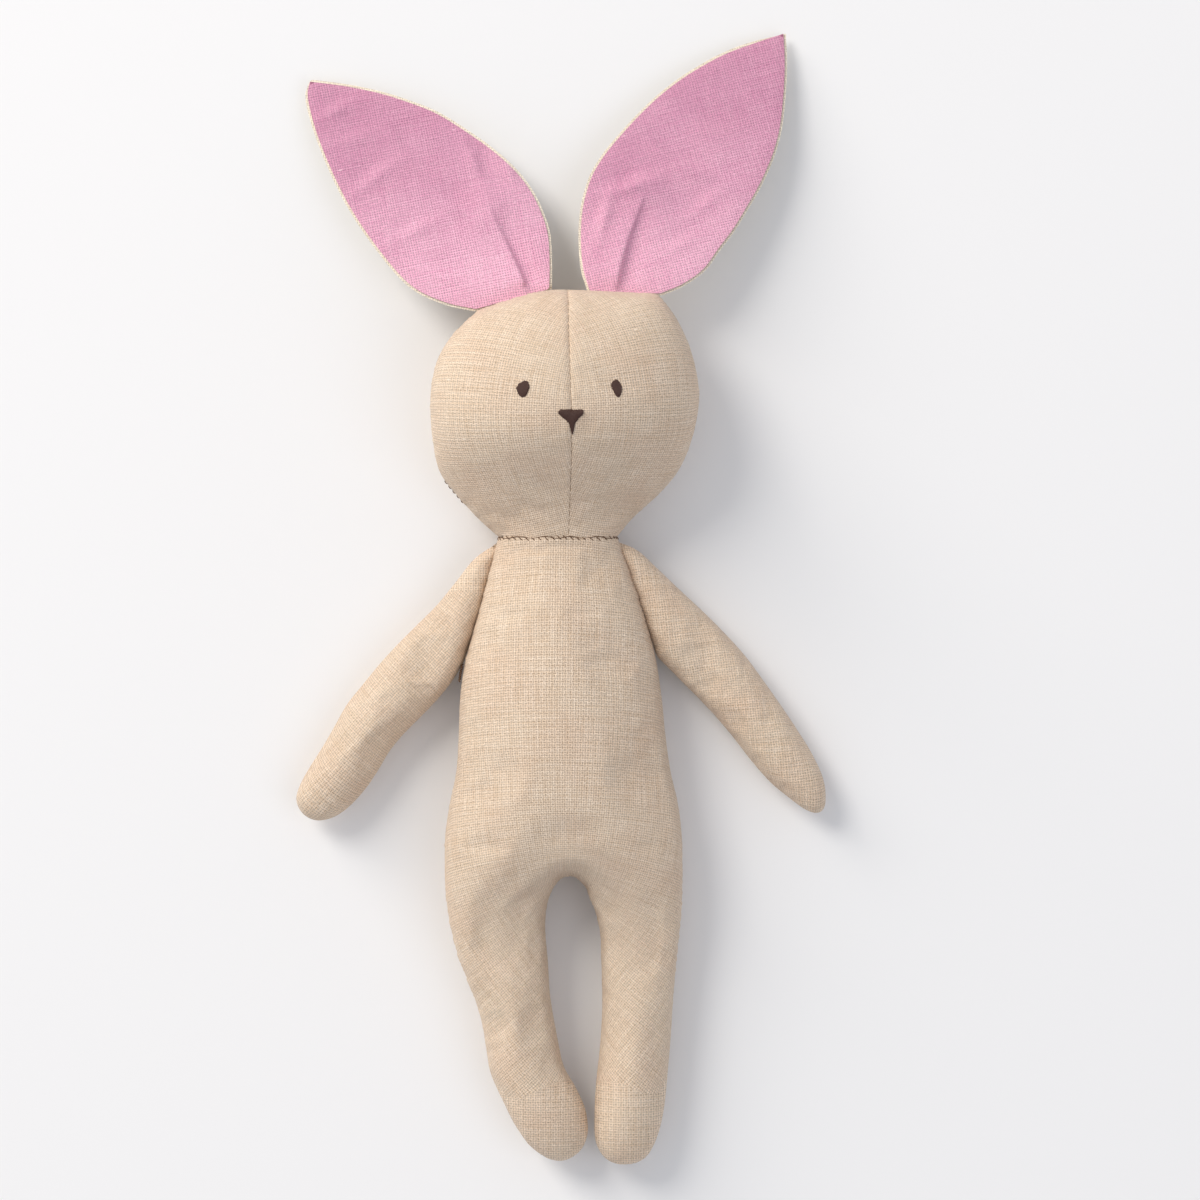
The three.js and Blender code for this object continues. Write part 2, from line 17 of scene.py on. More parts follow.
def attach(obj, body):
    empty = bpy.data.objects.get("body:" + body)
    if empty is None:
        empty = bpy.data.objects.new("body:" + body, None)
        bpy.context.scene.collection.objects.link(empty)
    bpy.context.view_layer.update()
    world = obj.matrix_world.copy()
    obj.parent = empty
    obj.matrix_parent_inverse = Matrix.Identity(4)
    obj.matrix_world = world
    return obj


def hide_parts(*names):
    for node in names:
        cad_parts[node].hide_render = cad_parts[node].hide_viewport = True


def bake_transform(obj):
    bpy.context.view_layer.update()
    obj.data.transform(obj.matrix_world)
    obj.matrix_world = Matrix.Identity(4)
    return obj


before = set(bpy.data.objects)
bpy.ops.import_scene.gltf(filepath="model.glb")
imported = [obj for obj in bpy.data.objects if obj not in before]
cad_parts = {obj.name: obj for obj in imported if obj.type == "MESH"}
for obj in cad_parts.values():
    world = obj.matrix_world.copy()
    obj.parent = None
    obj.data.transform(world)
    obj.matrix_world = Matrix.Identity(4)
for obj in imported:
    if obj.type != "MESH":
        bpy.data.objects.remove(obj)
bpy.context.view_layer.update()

# %% [markdown]
# ## From a pattern to flat linen
# A pattern piece is an outline with sharp corners where two seams meet and easy curves between
# them. A few points on each curve are enough: a Catmull-Rom curve runs smoothly through them.
# The cloth inside is a net of nearly even triangles. Even triangles matter here, because cloth
# that is cut from a square grid only wrinkles along the grid.

# %% Smooth curves through a few points
NET = 2.0  # mm between the points of the cloth


def through(points, step=NET):
    """Evenly spaced points along a smooth curve through the given ones."""
    p = np.array(points, float)
    q = np.vstack([2 * p[0] - p[1], p, 2 * p[-1] - p[-2]])
    t = np.linspace(0, 1, 24, endpoint=False)[:, None]
    fine = []
    for a, b, c, d in zip(q, q[1:], q[2:], q[3:]):
        fine.append(0.5 * (2 * b + (c - a) * t + (2 * a - 5 * b + 4 * c - d) * t**2
                           + (3 * b - a - 3 * c + d) * t**3))
    fine = np.vstack(fine + [p[-1:]])
    run = np.r_[0, np.cumsum(np.linalg.norm(np.diff(fine, axis=0), axis=1))]
    at = np.linspace(0, run[-1], max(2, round(run[-1] / step)) + 1)
    return np.stack([np.interp(at, run, column) for column in fine.T], axis=1)


# %% A net of cloth inside an outline
def far_from(points, line):
    """Each point's distance from a row of points."""
    return np.min(np.linalg.norm(points[:, None] - line[None], axis=2), axis=1)


def inside(points, loop):
    """Which points lie inside a closed loop: a ray from each crosses the loop an odd number of times."""
    a, b = loop, np.roll(loop, -1, axis=0)
    x, y = points[:, :1], points[:, 1:]
    crosses = (a[:, 1] > y) != (b[:, 1] > y)
    slope = (b[:, 0] - a[:, 0]) / np.where(b[:, 1] == a[:, 1], 1, b[:, 1] - a[:, 1])
    return np.sum(crosses & (x < a[:, 0] + slope * (y - a[:, 1])), axis=1) % 2 == 1


def cloth_net(curves, folds=(), step=NET):
    """Points and triangles of flat cloth: curves go once round it, folds are lines across it."""
    loop = np.vstack([through(curve, step)[:-1] for curve in curves])
    lines = [through(fold, step) for fold in folds]
    low, high = loop.min(0), loop.max(0)
    x, y = np.meshgrid(np.arange(low[0], high[0], step), np.arange(low[1], high[1], 0.866 * step))
    x[1::2] += step / 2
    grid = np.stack([x.ravel(), y.ravel()], axis=1)
    grid = grid[inside(grid, loop)]
    for line in [loop, *lines]:
        grid = grid[far_from(grid, line) > 0.62 * step]
    points, edges, start = [loop], [(n, (n + 1) % len(loop)) for n in range(len(loop))], len(loop)
    for line in lines:
        points.append(line)
        edges += [(start + n, start + n + 1) for n in range(len(line) - 1)]
        start += len(line)
    points = np.vstack([*points, grid])
    made = delaunay_2d_cdt([Vector(p) for p in points], edges, [list(range(len(loop)))], 1, 0.05)
    net, faces = np.array([tuple(p) for p in made[0]]), np.array(made[2])
    a, b, c = (net[faces[:, n]] for n in range(3))
    turn = (b[:, 0] - a[:, 0]) * (c[:, 1] - a[:, 1]) - (b[:, 1] - a[:, 1]) * (c[:, 0] - a[:, 0])
    faces[turn < 0] = faces[turn < 0][:, ::-1]
    return net, faces[np.abs(turn) > 1e-6]


def rim_of(faces):
    """The points on the rim of a net: an edge there has a face on one side only."""
    sides = np.sort(np.vstack([faces[:, [0, 1]], faces[:, [1, 2]], faces[:, [2, 0]]]), axis=1)
    found, uses = np.unique(sides, axis=0, return_counts=True)
    return np.unique(found[uses == 1])


# %% [markdown]
# ## Filling it
# Stuffed cloth between two seams takes the shape of a soap film blown up over the same outline:
# round across a narrow limb, flatter over a wide belly, and smooth where a leg runs into the
# body. The film's height solves Poisson's equation on the net. The square root of it stands
# straight up at the seam, as filled cloth does.

# %% The swelling of a filled outline
def swelling(net, faces, sewn):
    """How far filled cloth rises above each point, in mm. It is held down at the sewn points."""
    a, b, c = (net[faces[:, n]] for n in range(3))
    area = 0.5 * np.abs(np.cross(b - a, c - a))
    size, ends, pull = len(net), [], []
    for near, left, right in ((0, 1, 2), (1, 2, 0), (2, 0, 1)):
        u, v = net[faces[:, left]] - net[faces[:, near]], net[faces[:, right]] - net[faces[:, near]]
        ends.append(faces[:, [left, right]])
        pull.append(0.5 * (u * v).sum(1) / np.abs(np.cross(u, v)))
    ends, pull = np.vstack(ends), np.concatenate(pull)
    own = np.bincount(ends.ravel(), np.repeat(pull, 2), size)
    load = np.bincount(faces.ravel(), np.repeat(area / 3, 3), size)
    free = np.ones(size)
    free[sewn] = 0

    def pulled(h):
        across = (np.bincount(ends[:, 0], pull * h[ends[:, 1]], size)
                  + np.bincount(ends[:, 1], pull * h[ends[:, 0]], size))
        return free * (own * h - across)

    height, left_over = np.zeros(size), free * load
    step, size_of = left_over.copy(), float(load @ load)
    now = left_over @ left_over
    for _ in range(3000):
        moved = pulled(step)
        share = now / (step @ moved)
        height += share * step
        left_over -= share * moved
        after = left_over @ left_over
        if after < 1e-12 * size_of:
            break
        step, now = left_over + after / now * step, after
    return np.sqrt(2 * np.maximum(height, 0))


# %% [markdown]
# ## The pattern
# The maker cuts the body and both legs in one, front and back, so no seam crosses the hips. The
# head has a seam down the middle of the face. Each arm is two shapes, caught in the side seam of
# the body from the corner of the neck to the armpit. Curves go round each piece anticlockwise.

# %% The body and legs
NECK_LEFT, NECK_RIGHT, NECK_Y = (18.8, 61.7), (-24.8, 61.7), 61.7
ARMPIT_LEFT, ARMPIT_RIGHT = (32.6, 18.5), (-36.8, 16.4)
CROTCH = (1.2, -60.6)
NECK_X, NECK_Z, NECK_HALF = -3.0, 17.0, 21.79  # the neck's middle, and just under half its width
CLOTH_LOW = 0.4  # mm, the lowest cloth lies this far above the table's surface
body_curves = [
    [NECK_RIGHT, (-28.5, 47.5), (-32.8, 31.5), ARMPIT_RIGHT, (-38.5, 4.5), (-39, -8), (-39.8, -22),
     (-42.4, -35), (-43.9, -46), (-44.1, -56), (-43.8, -66), (-42.2, -78), (-38.8, -91),
     (-34.4, -102), (-30.8, -113.5), (-29.2, -123), (-27.6, -132), (-23.6, -141), (-18.6, -151),
     (-12, -159.6), (-3, -164), (4.6, -161), (8.1, -154), (7.3, -145), (3.6, -136.5),
     (-0.6, -129), (-3.2, -117), (-5.4, -104), (-6.2, -92), (-7.2, -80), (-6.4, -70.5),
     (-3.4, -63.6), CROTCH, (6, -63.6), (9.2, -70.5), (11.8, -80), (12.4, -92), (12.7, -108),
     (11.9, -122), (10.6, -134), (9.9, -146), (10.4, -157), (14.8, -163.6), (22, -165.2),
     (29, -162.6), (33.4, -154.5), (35.8, -144), (37, -132), (38.2, -118), (39.2, -102),
     (40.6, -86), (42, -72), (42.3, -58), (42, -45), (40.6, -34), (37.9, -22),
     (36, -8), (34.8, 4), ARMPIT_LEFT, (28.7, 33.5), (24, 48), NECK_LEFT],
    [NECK_LEFT, (NECK_X, NECK_Y), NECK_RIGHT],
]
MIDDLE_X, CHEST_Y = -1, 18.5  # where the cloth is divided into the chest and the two legs
body_folds = [
    [(1.2, -60.6), (0.4, -50), (-1, -38), (-1, -20), (-1, 0), (-1, CHEST_Y)],
    [(-36.2, CHEST_Y), (-20, CHEST_Y), (-1, CHEST_Y), (16, CHEST_Y), (32.6, CHEST_Y)],
]
body_net, body_faces = cloth_net(body_curves, body_folds)
print("body cloth:", len(body_net), "points")

# %% The head
FACE_SEAM = through([(0.9, 150.8), (1.1, 138.0), (1.8, 118.0), (2.3, 100.0), (2.0, 86.0), (1.0, 61.7)])
CROWN_RIGHT, CROWN_LEFT = (-31.5, 143.6), (33.0, 149.4)
head_curves = [
    [CROWN_RIGHT, (-40, 135.5), (-46, 126.5), (-48.6, 116), (-49, 106), (-48, 95),
     (-45.6, 84.6), (-38.8, 75.6), (-31.4, 67.6), NECK_RIGHT],
    [NECK_RIGHT, (NECK_X, NECK_Y), NECK_LEFT],
    [NECK_LEFT, (24.6, 68.6), (34.4, 77.6), (41.4, 86.4), (46, 98), (48.2, 111), (47, 122),
     (44.2, 131.5), (39.6, 141), CROWN_LEFT],
    [CROWN_LEFT, (20, 150), (0.9, 150.8), (-8, 150.4), (-19, 147.6), CROWN_RIGHT],
]
head_net, head_faces = cloth_net(head_curves, [FACE_SEAM])
print("head cloth:", len(head_net), "points")

# %% The arms
arm_curves = {
    "left": [
        [(17.2, 60.8), (25.6, 57.4), (33.6, 50.2), (41.4, 42.8), (49.4, 35.4), (57.4, 27.4), (65, 19),
         (71.8, 9.8), (78, 1), (84, -8), (89.2, -16.4), (93, -24.6), (94.2, -31),
         (93.6, -36.6), (90.6, -38.4), (86, -36.8), (80.6, -32.8), (73.6, -27), (66.4, -18.8),
         (60.4, -11), (54, -3.4), (47.4, 3.6), (40.6, 10.4), ARMPIT_LEFT],
        [ARMPIT_LEFT, (27.4, 33.2), (22.4, 47.5), (17.2, 60.8)],
    ],
    "right": [
        [(-23.2, 60.8), (-27.2, 47.1), (-31.6, 31.2), ARMPIT_RIGHT],
        [ARMPIT_RIGHT, (-40.4, 10.4), (-45.4, 4), (-51.6, -2.6), (-58, -9), (-63.4, -15.4),
         (-67.6, -22.4), (-72.2, -29.2), (-78, -35.6), (-84, -39.8), (-90.6, -41),
         (-95.8, -38.2), (-98, -33), (-96.4, -27.4), (-92.6, -20.6), (-88.4, -14), (-84, -6.4),
         (-79.6, 1.4), (-74, 8.4), (-67.8, 16), (-61, 23.4), (-54, 30.4), (-46.8, 37.6),
         (-40.2, 45.6), (-33, 54.4), (-23.2, 60.8)],
    ],
}
arm_nets = {side: cloth_net(curves) for side, curves in arm_curves.items()}
for side, (net, _) in arm_nets.items():
    print(f"{side} arm cloth:", len(net), "points")

# %% [markdown]
# ## Seams, belly and back
# The two sides of a limb meet at its seam, which runs level along the side, about halfway up.
# The front rises freely. The table presses the back flat, so the back rounds under from the seam
# and then lies on the table. Each body's rise is set along its length: a chest is filled less
# tightly than a leg.

# %% How high the seams and the filling stand
def along(value, table):
    """A smooth value along y, from a table of (y, value)."""
    ys, values = np.array(sorted(table), float).T
    at = np.clip(value, ys[0], ys[-1])
    n = np.clip(np.searchsorted(ys, at) - 1, 0, len(ys) - 2)
    t = (at - ys[n]) / (ys[n + 1] - ys[n])
    return values[n] + (values[n + 1] - values[n]) * t * t * (3 - 2 * t)


def filled(net, faces, sewn, seam, front, back, table=CLOTH_LOW):
    """The front and back heights of a filled piece above the table, in mm."""
    rise = swelling(net, faces, sewn)
    top = seam + front * rise
    down = seam - back * rise
    soft = 2.5  # mm over which the back rounds on to the table
    bottom = table + 0.5 * (down - table + np.sqrt((down - table) ** 2 + soft**2))
    bottom = np.where(rise < 1e-6, seam, np.minimum(bottom, top))
    return top, bottom


body_y = body_net[:, 1]
body_seam = along(body_y, [(-92, 13.5), (-50, 17), (61.7, 17)])
body_rim = rim_of(body_faces)
neck_rim = body_rim[np.abs(body_net[body_rim, 1] - NECK_Y) < 0.01]
sides = np.abs(body_net[:, 0] - NECK_X) > NECK_HALF
body_sewn = np.array([n for n in body_rim if n not in set(neck_rim) or sides[n]])
body_top, body_bottom = filled(
    body_net, body_faces, body_sewn, body_seam,
    front=along(body_y, [(61.7, 0.58), (30, 0.72), (-20, 0.74), (-70, 0.84), (-110, 0.98), (-165, 1.02)]),
    back=along(body_y, [(61.7, 0.5), (30, 0.8), (-60, 0.9), (-165, 1.0)]))
print("belly rises to", round(float(body_top.max()), 1), "mm")

head_y = head_net[:, 1]
head_seam = along(head_y, [(61.7, 17), (112, 26), (151, 26)])
head_rim = rim_of(head_faces)
head_neck = head_rim[np.abs(head_net[head_rim, 1] - NECK_Y) < 0.01]
neck_corner = np.abs(head_net[:, 0] - NECK_X) > NECK_HALF
head_sewn = np.array([n for n in head_rim if n not in set(head_neck) or neck_corner[n]])
head_top, head_bottom = filled(
    head_net, head_faces, head_sewn, head_seam,
    front=along(head_y, [(61.7, 0.52), (102, 0.98), (151, 0.98)]),
    back=along(head_y, [(61.7, 0.42), (75, 0.8), (105, 0.95), (151, 0.8)]))
print("face rises to", round(float(head_top.max()), 1), "mm")

# %% [markdown]
# ## Letting the cloth settle
# A filled shape alone is too smooth. Real linen is a little longer than the seam that holds it,
# so it eases out between the stitches in small puckers. A short cloth simulation does the same:
# the cloth grows by a percent or two, the filling presses from inside, and the seam holds still.

# %% A closed bag of cloth, and its simulation
MM = 0.001


def bag(net, faces, top, bottom, sewn, panels):
    """One closed mesh of a front and a back that share their sewn points. panels numbers the faces."""
    front = np.column_stack([net, top])
    loose = np.setdiff1d(np.arange(len(net)), sewn)
    below = np.arange(len(net))
    below[loose] = len(net) + np.arange(len(loose))
    back = np.column_stack([net, bottom])[loose]
    return np.vstack([front, back]), np.vstack([faces, below[faces][:, ::-1]]), np.concatenate(panels), below


def in_blender(points, faces):
    """A plain mesh object from points in mm."""
    mesh = bpy.data.meshes.new("work")
    mesh.from_pydata((points * MM).tolist(), [], faces.tolist())
    made = bpy.data.objects.new("work", mesh)
    bpy.context.scene.collection.objects.link(made)
    return made


def read_points(mesh):
    co = np.zeros(3 * len(mesh.vertices), np.float32)
    mesh.vertices.foreach_get("co", co)
    return co.reshape(-1, 3).astype(float) / MM


def settle(points, faces, held, slack, frames=14, most=1.6):
    """Eases the cloth out between its held points. No point moves more than most, in mm."""
    work = in_blender(points, faces)
    work.vertex_groups.new(name="sewn").add([int(n) for n in held], 1.0, "REPLACE")
    cloth = work.modifiers.new("linen", "CLOTH")
    s = cloth.settings
    s.quality = 6
    s.mass = 0.1
    s.tension_stiffness = s.compression_stiffness = 30
    s.shear_stiffness = 12
    s.bending_stiffness = 0.15
    s.vertex_group_mass = "sewn"
    s.shrink_min = -slack
    s.use_pressure = True
    s.uniform_pressure_force = 4
    s.effector_weights.gravity = 0
    for number in range(1, frames + 1):
        bpy.context.scene.frame_set(number)
    seen = work.evaluated_get(bpy.context.evaluated_depsgraph_get())
    settled = read_points(seen.to_mesh())
    bpy.data.objects.remove(work)
    bpy.context.scene.frame_set(1)
    step = settled - points
    length = np.linalg.norm(step, axis=1)
    step *= (np.minimum(length, most) / np.maximum(length, 1e-9))[:, None]
    step *= np.clip((points[:, 2:] - 4) / 11, 0.22, 1)  # the table holds the cloth that lies on it
    print(f"  settled: {length.mean():.2f} mm on average, {length.max():.2f} mm at most")
    return points + step


# %% [markdown]
# ## Weave that follows the cloth
# The threads of a real panel run straight in the flat cloth and bend with it when it is filled.
# Unwrapping each panel gives its flat shape back. It is then turned to lie along the grain and
# scaled to millimetres, so one unit of the weave's coordinates is one millimetre of linen.

# %% Flat panels, and finer cloth
def refined(points, faces, panel):
    """The bag with each panel's flat coordinates, in mm, and every face cut in four."""
    work = in_blender(points, faces)
    mesh = work.data
    mesh.polygons.foreach_set("material_index", panel.astype(np.int32))
    ends = np.zeros(2 * len(mesh.edges), np.int32)
    mesh.edges.foreach_get("vertices", ends)
    of_edge = {}
    for face, number in zip(mesh.polygons, panel):
        for key in face.edge_keys:
            of_edge.setdefault(key, set()).add(int(number))
    seams = [len(of_edge[tuple(sorted(pair))]) > 1 for pair in ends.reshape(-1, 2).tolist()]
    mesh.edges.foreach_set("use_seam", seams)
    crease = mesh.attributes.new("crease_edge", "FLOAT", "EDGE")
    crease.data.foreach_set("value", np.array(seams, np.float32))
    mesh.uv_layers.new(name="weave")
    bpy.context.view_layer.objects.active = work
    work.select_set(True)
    bpy.ops.object.mode_set(mode="EDIT")
    bpy.ops.mesh.select_all(action="SELECT")
    bpy.ops.uv.unwrap(method="ANGLE_BASED", margin=0.01)
    bpy.ops.object.mode_set(mode="OBJECT")
    finer = work.modifiers.new("finer", "SUBSURF")
    finer.levels = finer.render_levels = 1
    seen = work.evaluated_get(bpy.context.evaluated_depsgraph_get()).to_mesh()
    made = {
        "points": read_points(seen),
        "faces": np.array([tuple(f.vertices) for f in seen.polygons]),
        "panel": np.array([f.material_index for f in seen.polygons]),
        "weave": np.array([tuple(d.uv) for d in seen.uv_layers[0].data]),
    }
    bpy.data.objects.remove(work)
    for number in np.unique(made["panel"]):
        true_to_grain(made, made["panel"] == number)
    return made


def true_to_grain(made, mask):
    """Turns and scales one panel's flat coordinates to lie along the grain, in mm."""
    corners = made["faces"][mask]
    flat = made["weave"].reshape(-1, 4, 2)[mask]
    real = made["points"][corners]
    true_area = np.linalg.norm(np.cross(real[:, 2] - real[:, 0], real[:, 3] - real[:, 1]), axis=1)
    a, b = flat[:, 2] - flat[:, 0], flat[:, 3] - flat[:, 1]
    growth = true_area / np.maximum(np.abs(a[:, 0] * b[:, 1] - a[:, 1] * b[:, 0]), 1e-12)
    usual = np.median(growth)
    fair = (growth > usual / 4) & (growth < usual * 4)
    u, v = flat[fair].reshape(-1, 2), real[fair].reshape(-1, 3)[:, :2]
    left, _, right = np.linalg.svd((u - u.mean(0)).T @ (v - v.mean(0)))
    grown = (flat - u.mean(0)) @ (left @ right) * math.sqrt(usual) + v.mean(0)
    # a sliver at a corner can unwrap badly: it takes its place seen from above instead
    lost = ~fair | (np.abs(grown - real[:, :, :2]).max((1, 2)) > 60)
    grown[lost] = real[lost][:, :, :2]
    every = made["weave"].reshape(-1, 4, 2)
    every[mask] = grown
    made["weave"] = every.reshape(-1, 2)


# %% [markdown]
# ## Sewn edges
# Where two panels meet, the thread pulls the cloth in and leaves a narrow groove. The cloth's
# surface turns sharply there, so each panel keeps its own shading up to the seam.

# %% Grooves, and the panels as objects
def groove(made, depth):
    """Draws the points of every seam inwards by depth, in mm."""
    faces, panel = made["faces"], made["panel"]
    p = made["points"][faces]
    normal = np.cross(p[:, 2] - p[:, 0], p[:, 3] - p[:, 1])
    total = np.zeros_like(made["points"])
    np.add.at(total, faces.ravel(), np.repeat(normal, 4, axis=0))
    total /= np.maximum(np.linalg.norm(total, axis=1), 1e-9)[:, None]
    low = np.full(len(total), 99)
    high = np.full(len(total), -1)
    np.minimum.at(low, faces.ravel(), np.repeat(panel, 4))
    np.maximum.at(high, faces.ravel(), np.repeat(panel, 4))
    on_seam = low != high
    made["points"][on_seam] -= depth * total[on_seam]
    made["points"][:, 2] = np.maximum(made["points"][:, 2], 0.3)
    return on_seam


def piece(name, points, faces, weave, normals=None, sharp=None):
    """One object of quads, in mm, with its weave coordinates and smooth shading."""
    mesh = bpy.data.meshes.new(name)
    mesh.from_pydata((points * MM).tolist(), [], faces.tolist())
    mesh.uv_layers.new(name="weave").data.foreach_set("uv", weave.ravel())
    mesh.shade_smooth()
    if normals is not None:
        mesh.normals_split_custom_set_from_vertices(normals.tolist())
    if sharp is not None:
        ends = np.zeros(2 * len(mesh.edges), np.int32)
        mesh.edges.foreach_get("vertices", ends)
        edge = mesh.attributes.new("sharp_edge", "BOOLEAN", "EDGE")
        edge.data.foreach_set("value", sharp[ends.reshape(-1, 2)].all(1))
    made = bpy.data.objects.new(name, mesh)
    bpy.context.scene.collection.objects.link(made)
    print(f"  {name}: {len(points)} points")
    return made


def panel_objects(made, number, parts):
    """Objects for one panel. parts maps each piece's name to a test of its faces' middles."""
    mask = made["panel"] == number
    faces, weave = made["faces"][mask], made["weave"].reshape(-1, 4, 2)[mask]
    used, faces = np.unique(faces, return_inverse=True)
    faces, points = faces.reshape(-1, 4), made["points"][used]
    p = points[faces]
    normal = np.cross(p[:, 2] - p[:, 0], p[:, 3] - p[:, 1])
    normals = np.zeros_like(points)
    np.add.at(normals, faces.ravel(), np.repeat(normal, 4, axis=0))
    normals /= np.maximum(np.linalg.norm(normals, axis=1), 1e-9)[:, None]
    pieces = {}
    for name, test in parts.items():
        chosen = test(p.mean(1))
        own, local = np.unique(faces[chosen], return_inverse=True)
        pieces[name] = piece(name, points[own], local.reshape(-1, 4), weave[chosen], normals[own])
    return pieces


def whole(name):
    return {name: lambda middle: np.ones(len(middle), bool)}


# %% Fill and settle the body
ones = np.ones(len(body_faces), int)
body_points, body_all, body_panel, below = bag(
    body_net, body_faces, body_top, body_bottom, body_sewn, (0 * ones, ones))
held = np.concatenate([body_rim, below[neck_rim]])
body_points = settle(body_points, body_all, held, slack=0.012)
body_points[:, 2] = np.maximum(body_points[:, 2], CLOTH_LOW)
body = refined(body_points, body_all, body_panel)
groove(body, 0.35)


def chest(middle):
    return middle[:, 1] > CHEST_Y


def fold_x(y):
    """Where the cloth is divided between the legs: down the middle, then through the gap."""
    return np.interp(y, [-158, -61, -50, -38], [9.5, 1.2, 0.4, MIDDLE_X])


def left_leg(middle):
    return ~chest(middle) & (middle[:, 0] > fold_x(middle[:, 1]))


def right_leg(middle):
    return ~chest(middle) & (middle[:, 0] <= fold_x(middle[:, 1]))


body_pieces = {}
for number, face in enumerate(["front", "back"]):
    body_pieces[face] = panel_objects(body, number, {
        f"body_{face}_chest": chest, f"body_{face}_left": left_leg, f"body_{face}_right": right_leg})

# %% Fill and settle the head


def face_seam_x(y):
    return np.interp(y, FACE_SEAM[::-1, 1], FACE_SEAM[::-1, 0])


middle = head_net[head_faces].mean(1)
face_panel = np.where(middle[:, 0] > face_seam_x(middle[:, 1]), 0, 1)
head_points, head_all, head_panel, head_below = bag(
    head_net, head_faces, head_top, head_bottom, head_sewn, (face_panel, np.full(len(head_faces), 2)))
seam_line = np.nonzero(np.abs(head_net[:, 0] - face_seam_x(head_net[:, 1])) < 0.05)[0]
held = np.concatenate([head_rim, head_below[head_neck], seam_line])
head_points = settle(head_points, head_all, held, slack=0.012)
head_points[:, 2] = np.maximum(head_points[:, 2], CLOTH_LOW)
head = refined(head_points, head_all, head_panel)
groove(head, 0.4)


def ring_height(points, x, above):
    """How high the open neck edge stands at each x, on its front or its back half."""
    ring = points[np.abs(points[:, 1] - NECK_Y) < 0.4]
    half = ring[(ring[:, 2] >= NECK_Z) if above else (ring[:, 2] <= NECK_Z + 0.01)]
    half = half[np.argsort(half[:, 0])]
    return np.interp(x, half[:, 0], half[:, 2])


# the head's open edge is eased on to the body's, as it is when it is sewn down
fit = np.zeros(len(head["points"]))
for above in (True, False):
    chosen = (head["points"][:, 2] > NECK_Z) == above
    x, y = head["points"][chosen, :2].T
    miss = ring_height(body["points"], x, above) - ring_height(head["points"], x, above)
    fit[chosen] = miss * np.exp(-((y - NECK_Y) / 6) ** 2)
head["points"][:, 2] += fit
print(f"neck edges met after moving {np.abs(fit).max():.2f} mm")
head_pieces = {}
for number, name in enumerate(["face_left", "face_right", "head_back"]):
    head_pieces.update(panel_objects(head, number, whole(name)))

# %% Fill and settle the arms
arm_pieces = {}
for side, (net, faces) in arm_nets.items():
    rim = rim_of(faces)
    near_root = np.clip((np.abs(net[:, 0]) - 24) / 26, 0, 1)
    top, bottom = filled(net, faces, rim, seam=17 - 6 * near_root, front=0.9, back=0.9)
    number = np.ones(len(faces), int)
    points, both, panel, _ = bag(net, faces, top, bottom, rim, (0 * number, number))
    points = settle(points, both, rim, slack=0.016)
    points[:, 2] = np.maximum(points[:, 2], CLOTH_LOW)
    made = refined(points, both, panel)
    groove(made, 0.3)
    arm_pieces[side] = {**panel_objects(made, 0, whole(f"arm_{side}_front")),
                        **panel_objects(made, 1, whole(f"arm_{side}_back"))}

# %% [markdown]
# ## The ears
# An ear is two flat layers, pink linen in front and natural linen behind, sewn round, turned and
# pressed. The natural layer is cut a little larger, so it rolls forward as a pale edge. At the
# base the ear is folded over itself once before it is caught in the crown seam. The fold is a
# sharp lip that fades out up the ear. Both layers follow one surface, so they never cross.

# %% The ears' outlines, folds and creases
ears = {
    "right": {
        "base": [(-32.4, 143.4), (-6, 150.6)],
        "inner": [(-6, 150.6), (-5.9, 160), (-6.6, 171), (-9.6, 180), (-13.2, 187), (-18.6, 194),
                  (-26.6, 201.3), (-36, 208.2), (-47.2, 215.2), (-58, 219.6), (-68, 222.8), (-80, 225.4),
                  (-93, 227.2)],
        "outer": [(-93, 227.2), (-93.8, 221.6), (-90.6, 209), (-84.6, 194), (-77.4, 180), (-67.6, 165.6),
                  (-56, 152.4), (-44, 146.2), (-32.4, 143.4)],
        "lip": [(-12.4, 147), (-16.6, 157), (-21.6, 168), (-27.4, 180.4)],
        "creases": [((-88, 214), (-78, 219), 0.7), ((-76, 186), (-62, 197), 0.6), ((-62, 168), (-46, 176), 0.5),
                    ((-50, 186), (-34, 176), 0.6), ((-36, 203), (-30, 190), 0.9), ((-24, 199), (-16, 187), 0.7),
                    ((-52, 158), (-36, 152), 0.5), ((-66, 211), (-58, 200), 0.4), ((-82, 204), (-70, 208), 0.4)],
    },
    "left": {
        "base": [(8.6, 149.8), (33.8, 149)],
        "inner": [(78.8, 244.6), (67, 240.6), (56.4, 236.4), (44.3, 229.4), (35, 222.4), (27.2, 215),
                  (20.8, 208), (14.8, 200.8), (10, 193.2), (7.4, 186), (5.8, 178), (5.4, 168),
                  (6.2, 158), (8.6, 149.8)],
        "outer": [(33.8, 149), (42, 152.6), (49.4, 158), (54.6, 165.2), (60, 172.4), (64.4, 179.6),
                  (68.6, 186.8), (72.2, 194.2), (75, 201.4), (77.2, 210), (78.6, 222), (79.2, 234),
                  (78.8, 244.6)],
        "lip": [(17.6, 146.6), (19.4, 157), (22.6, 169), (28.8, 186)],
        "creases": [((12, 170), (16, 184), 1), ((17, 186), (30, 190), 1.2), ((36, 198), (56, 190), 0.6),
                    ((40, 214), (60, 203), 0.5), ((48, 226), (66, 216), 0.4), ((46, 178), (56, 186), 0.4),
                    ((60, 232), (74, 222), 0.4), ((36, 164), (48, 170), 0.4), ((26, 208), (40, 196), 0.5)],
    },
}
DROOP = math.tan(math.radians(12.5))  # an ear droops from the crown seam to the table
EAR_SEAM = 26.2  # mm, height of the crown seam


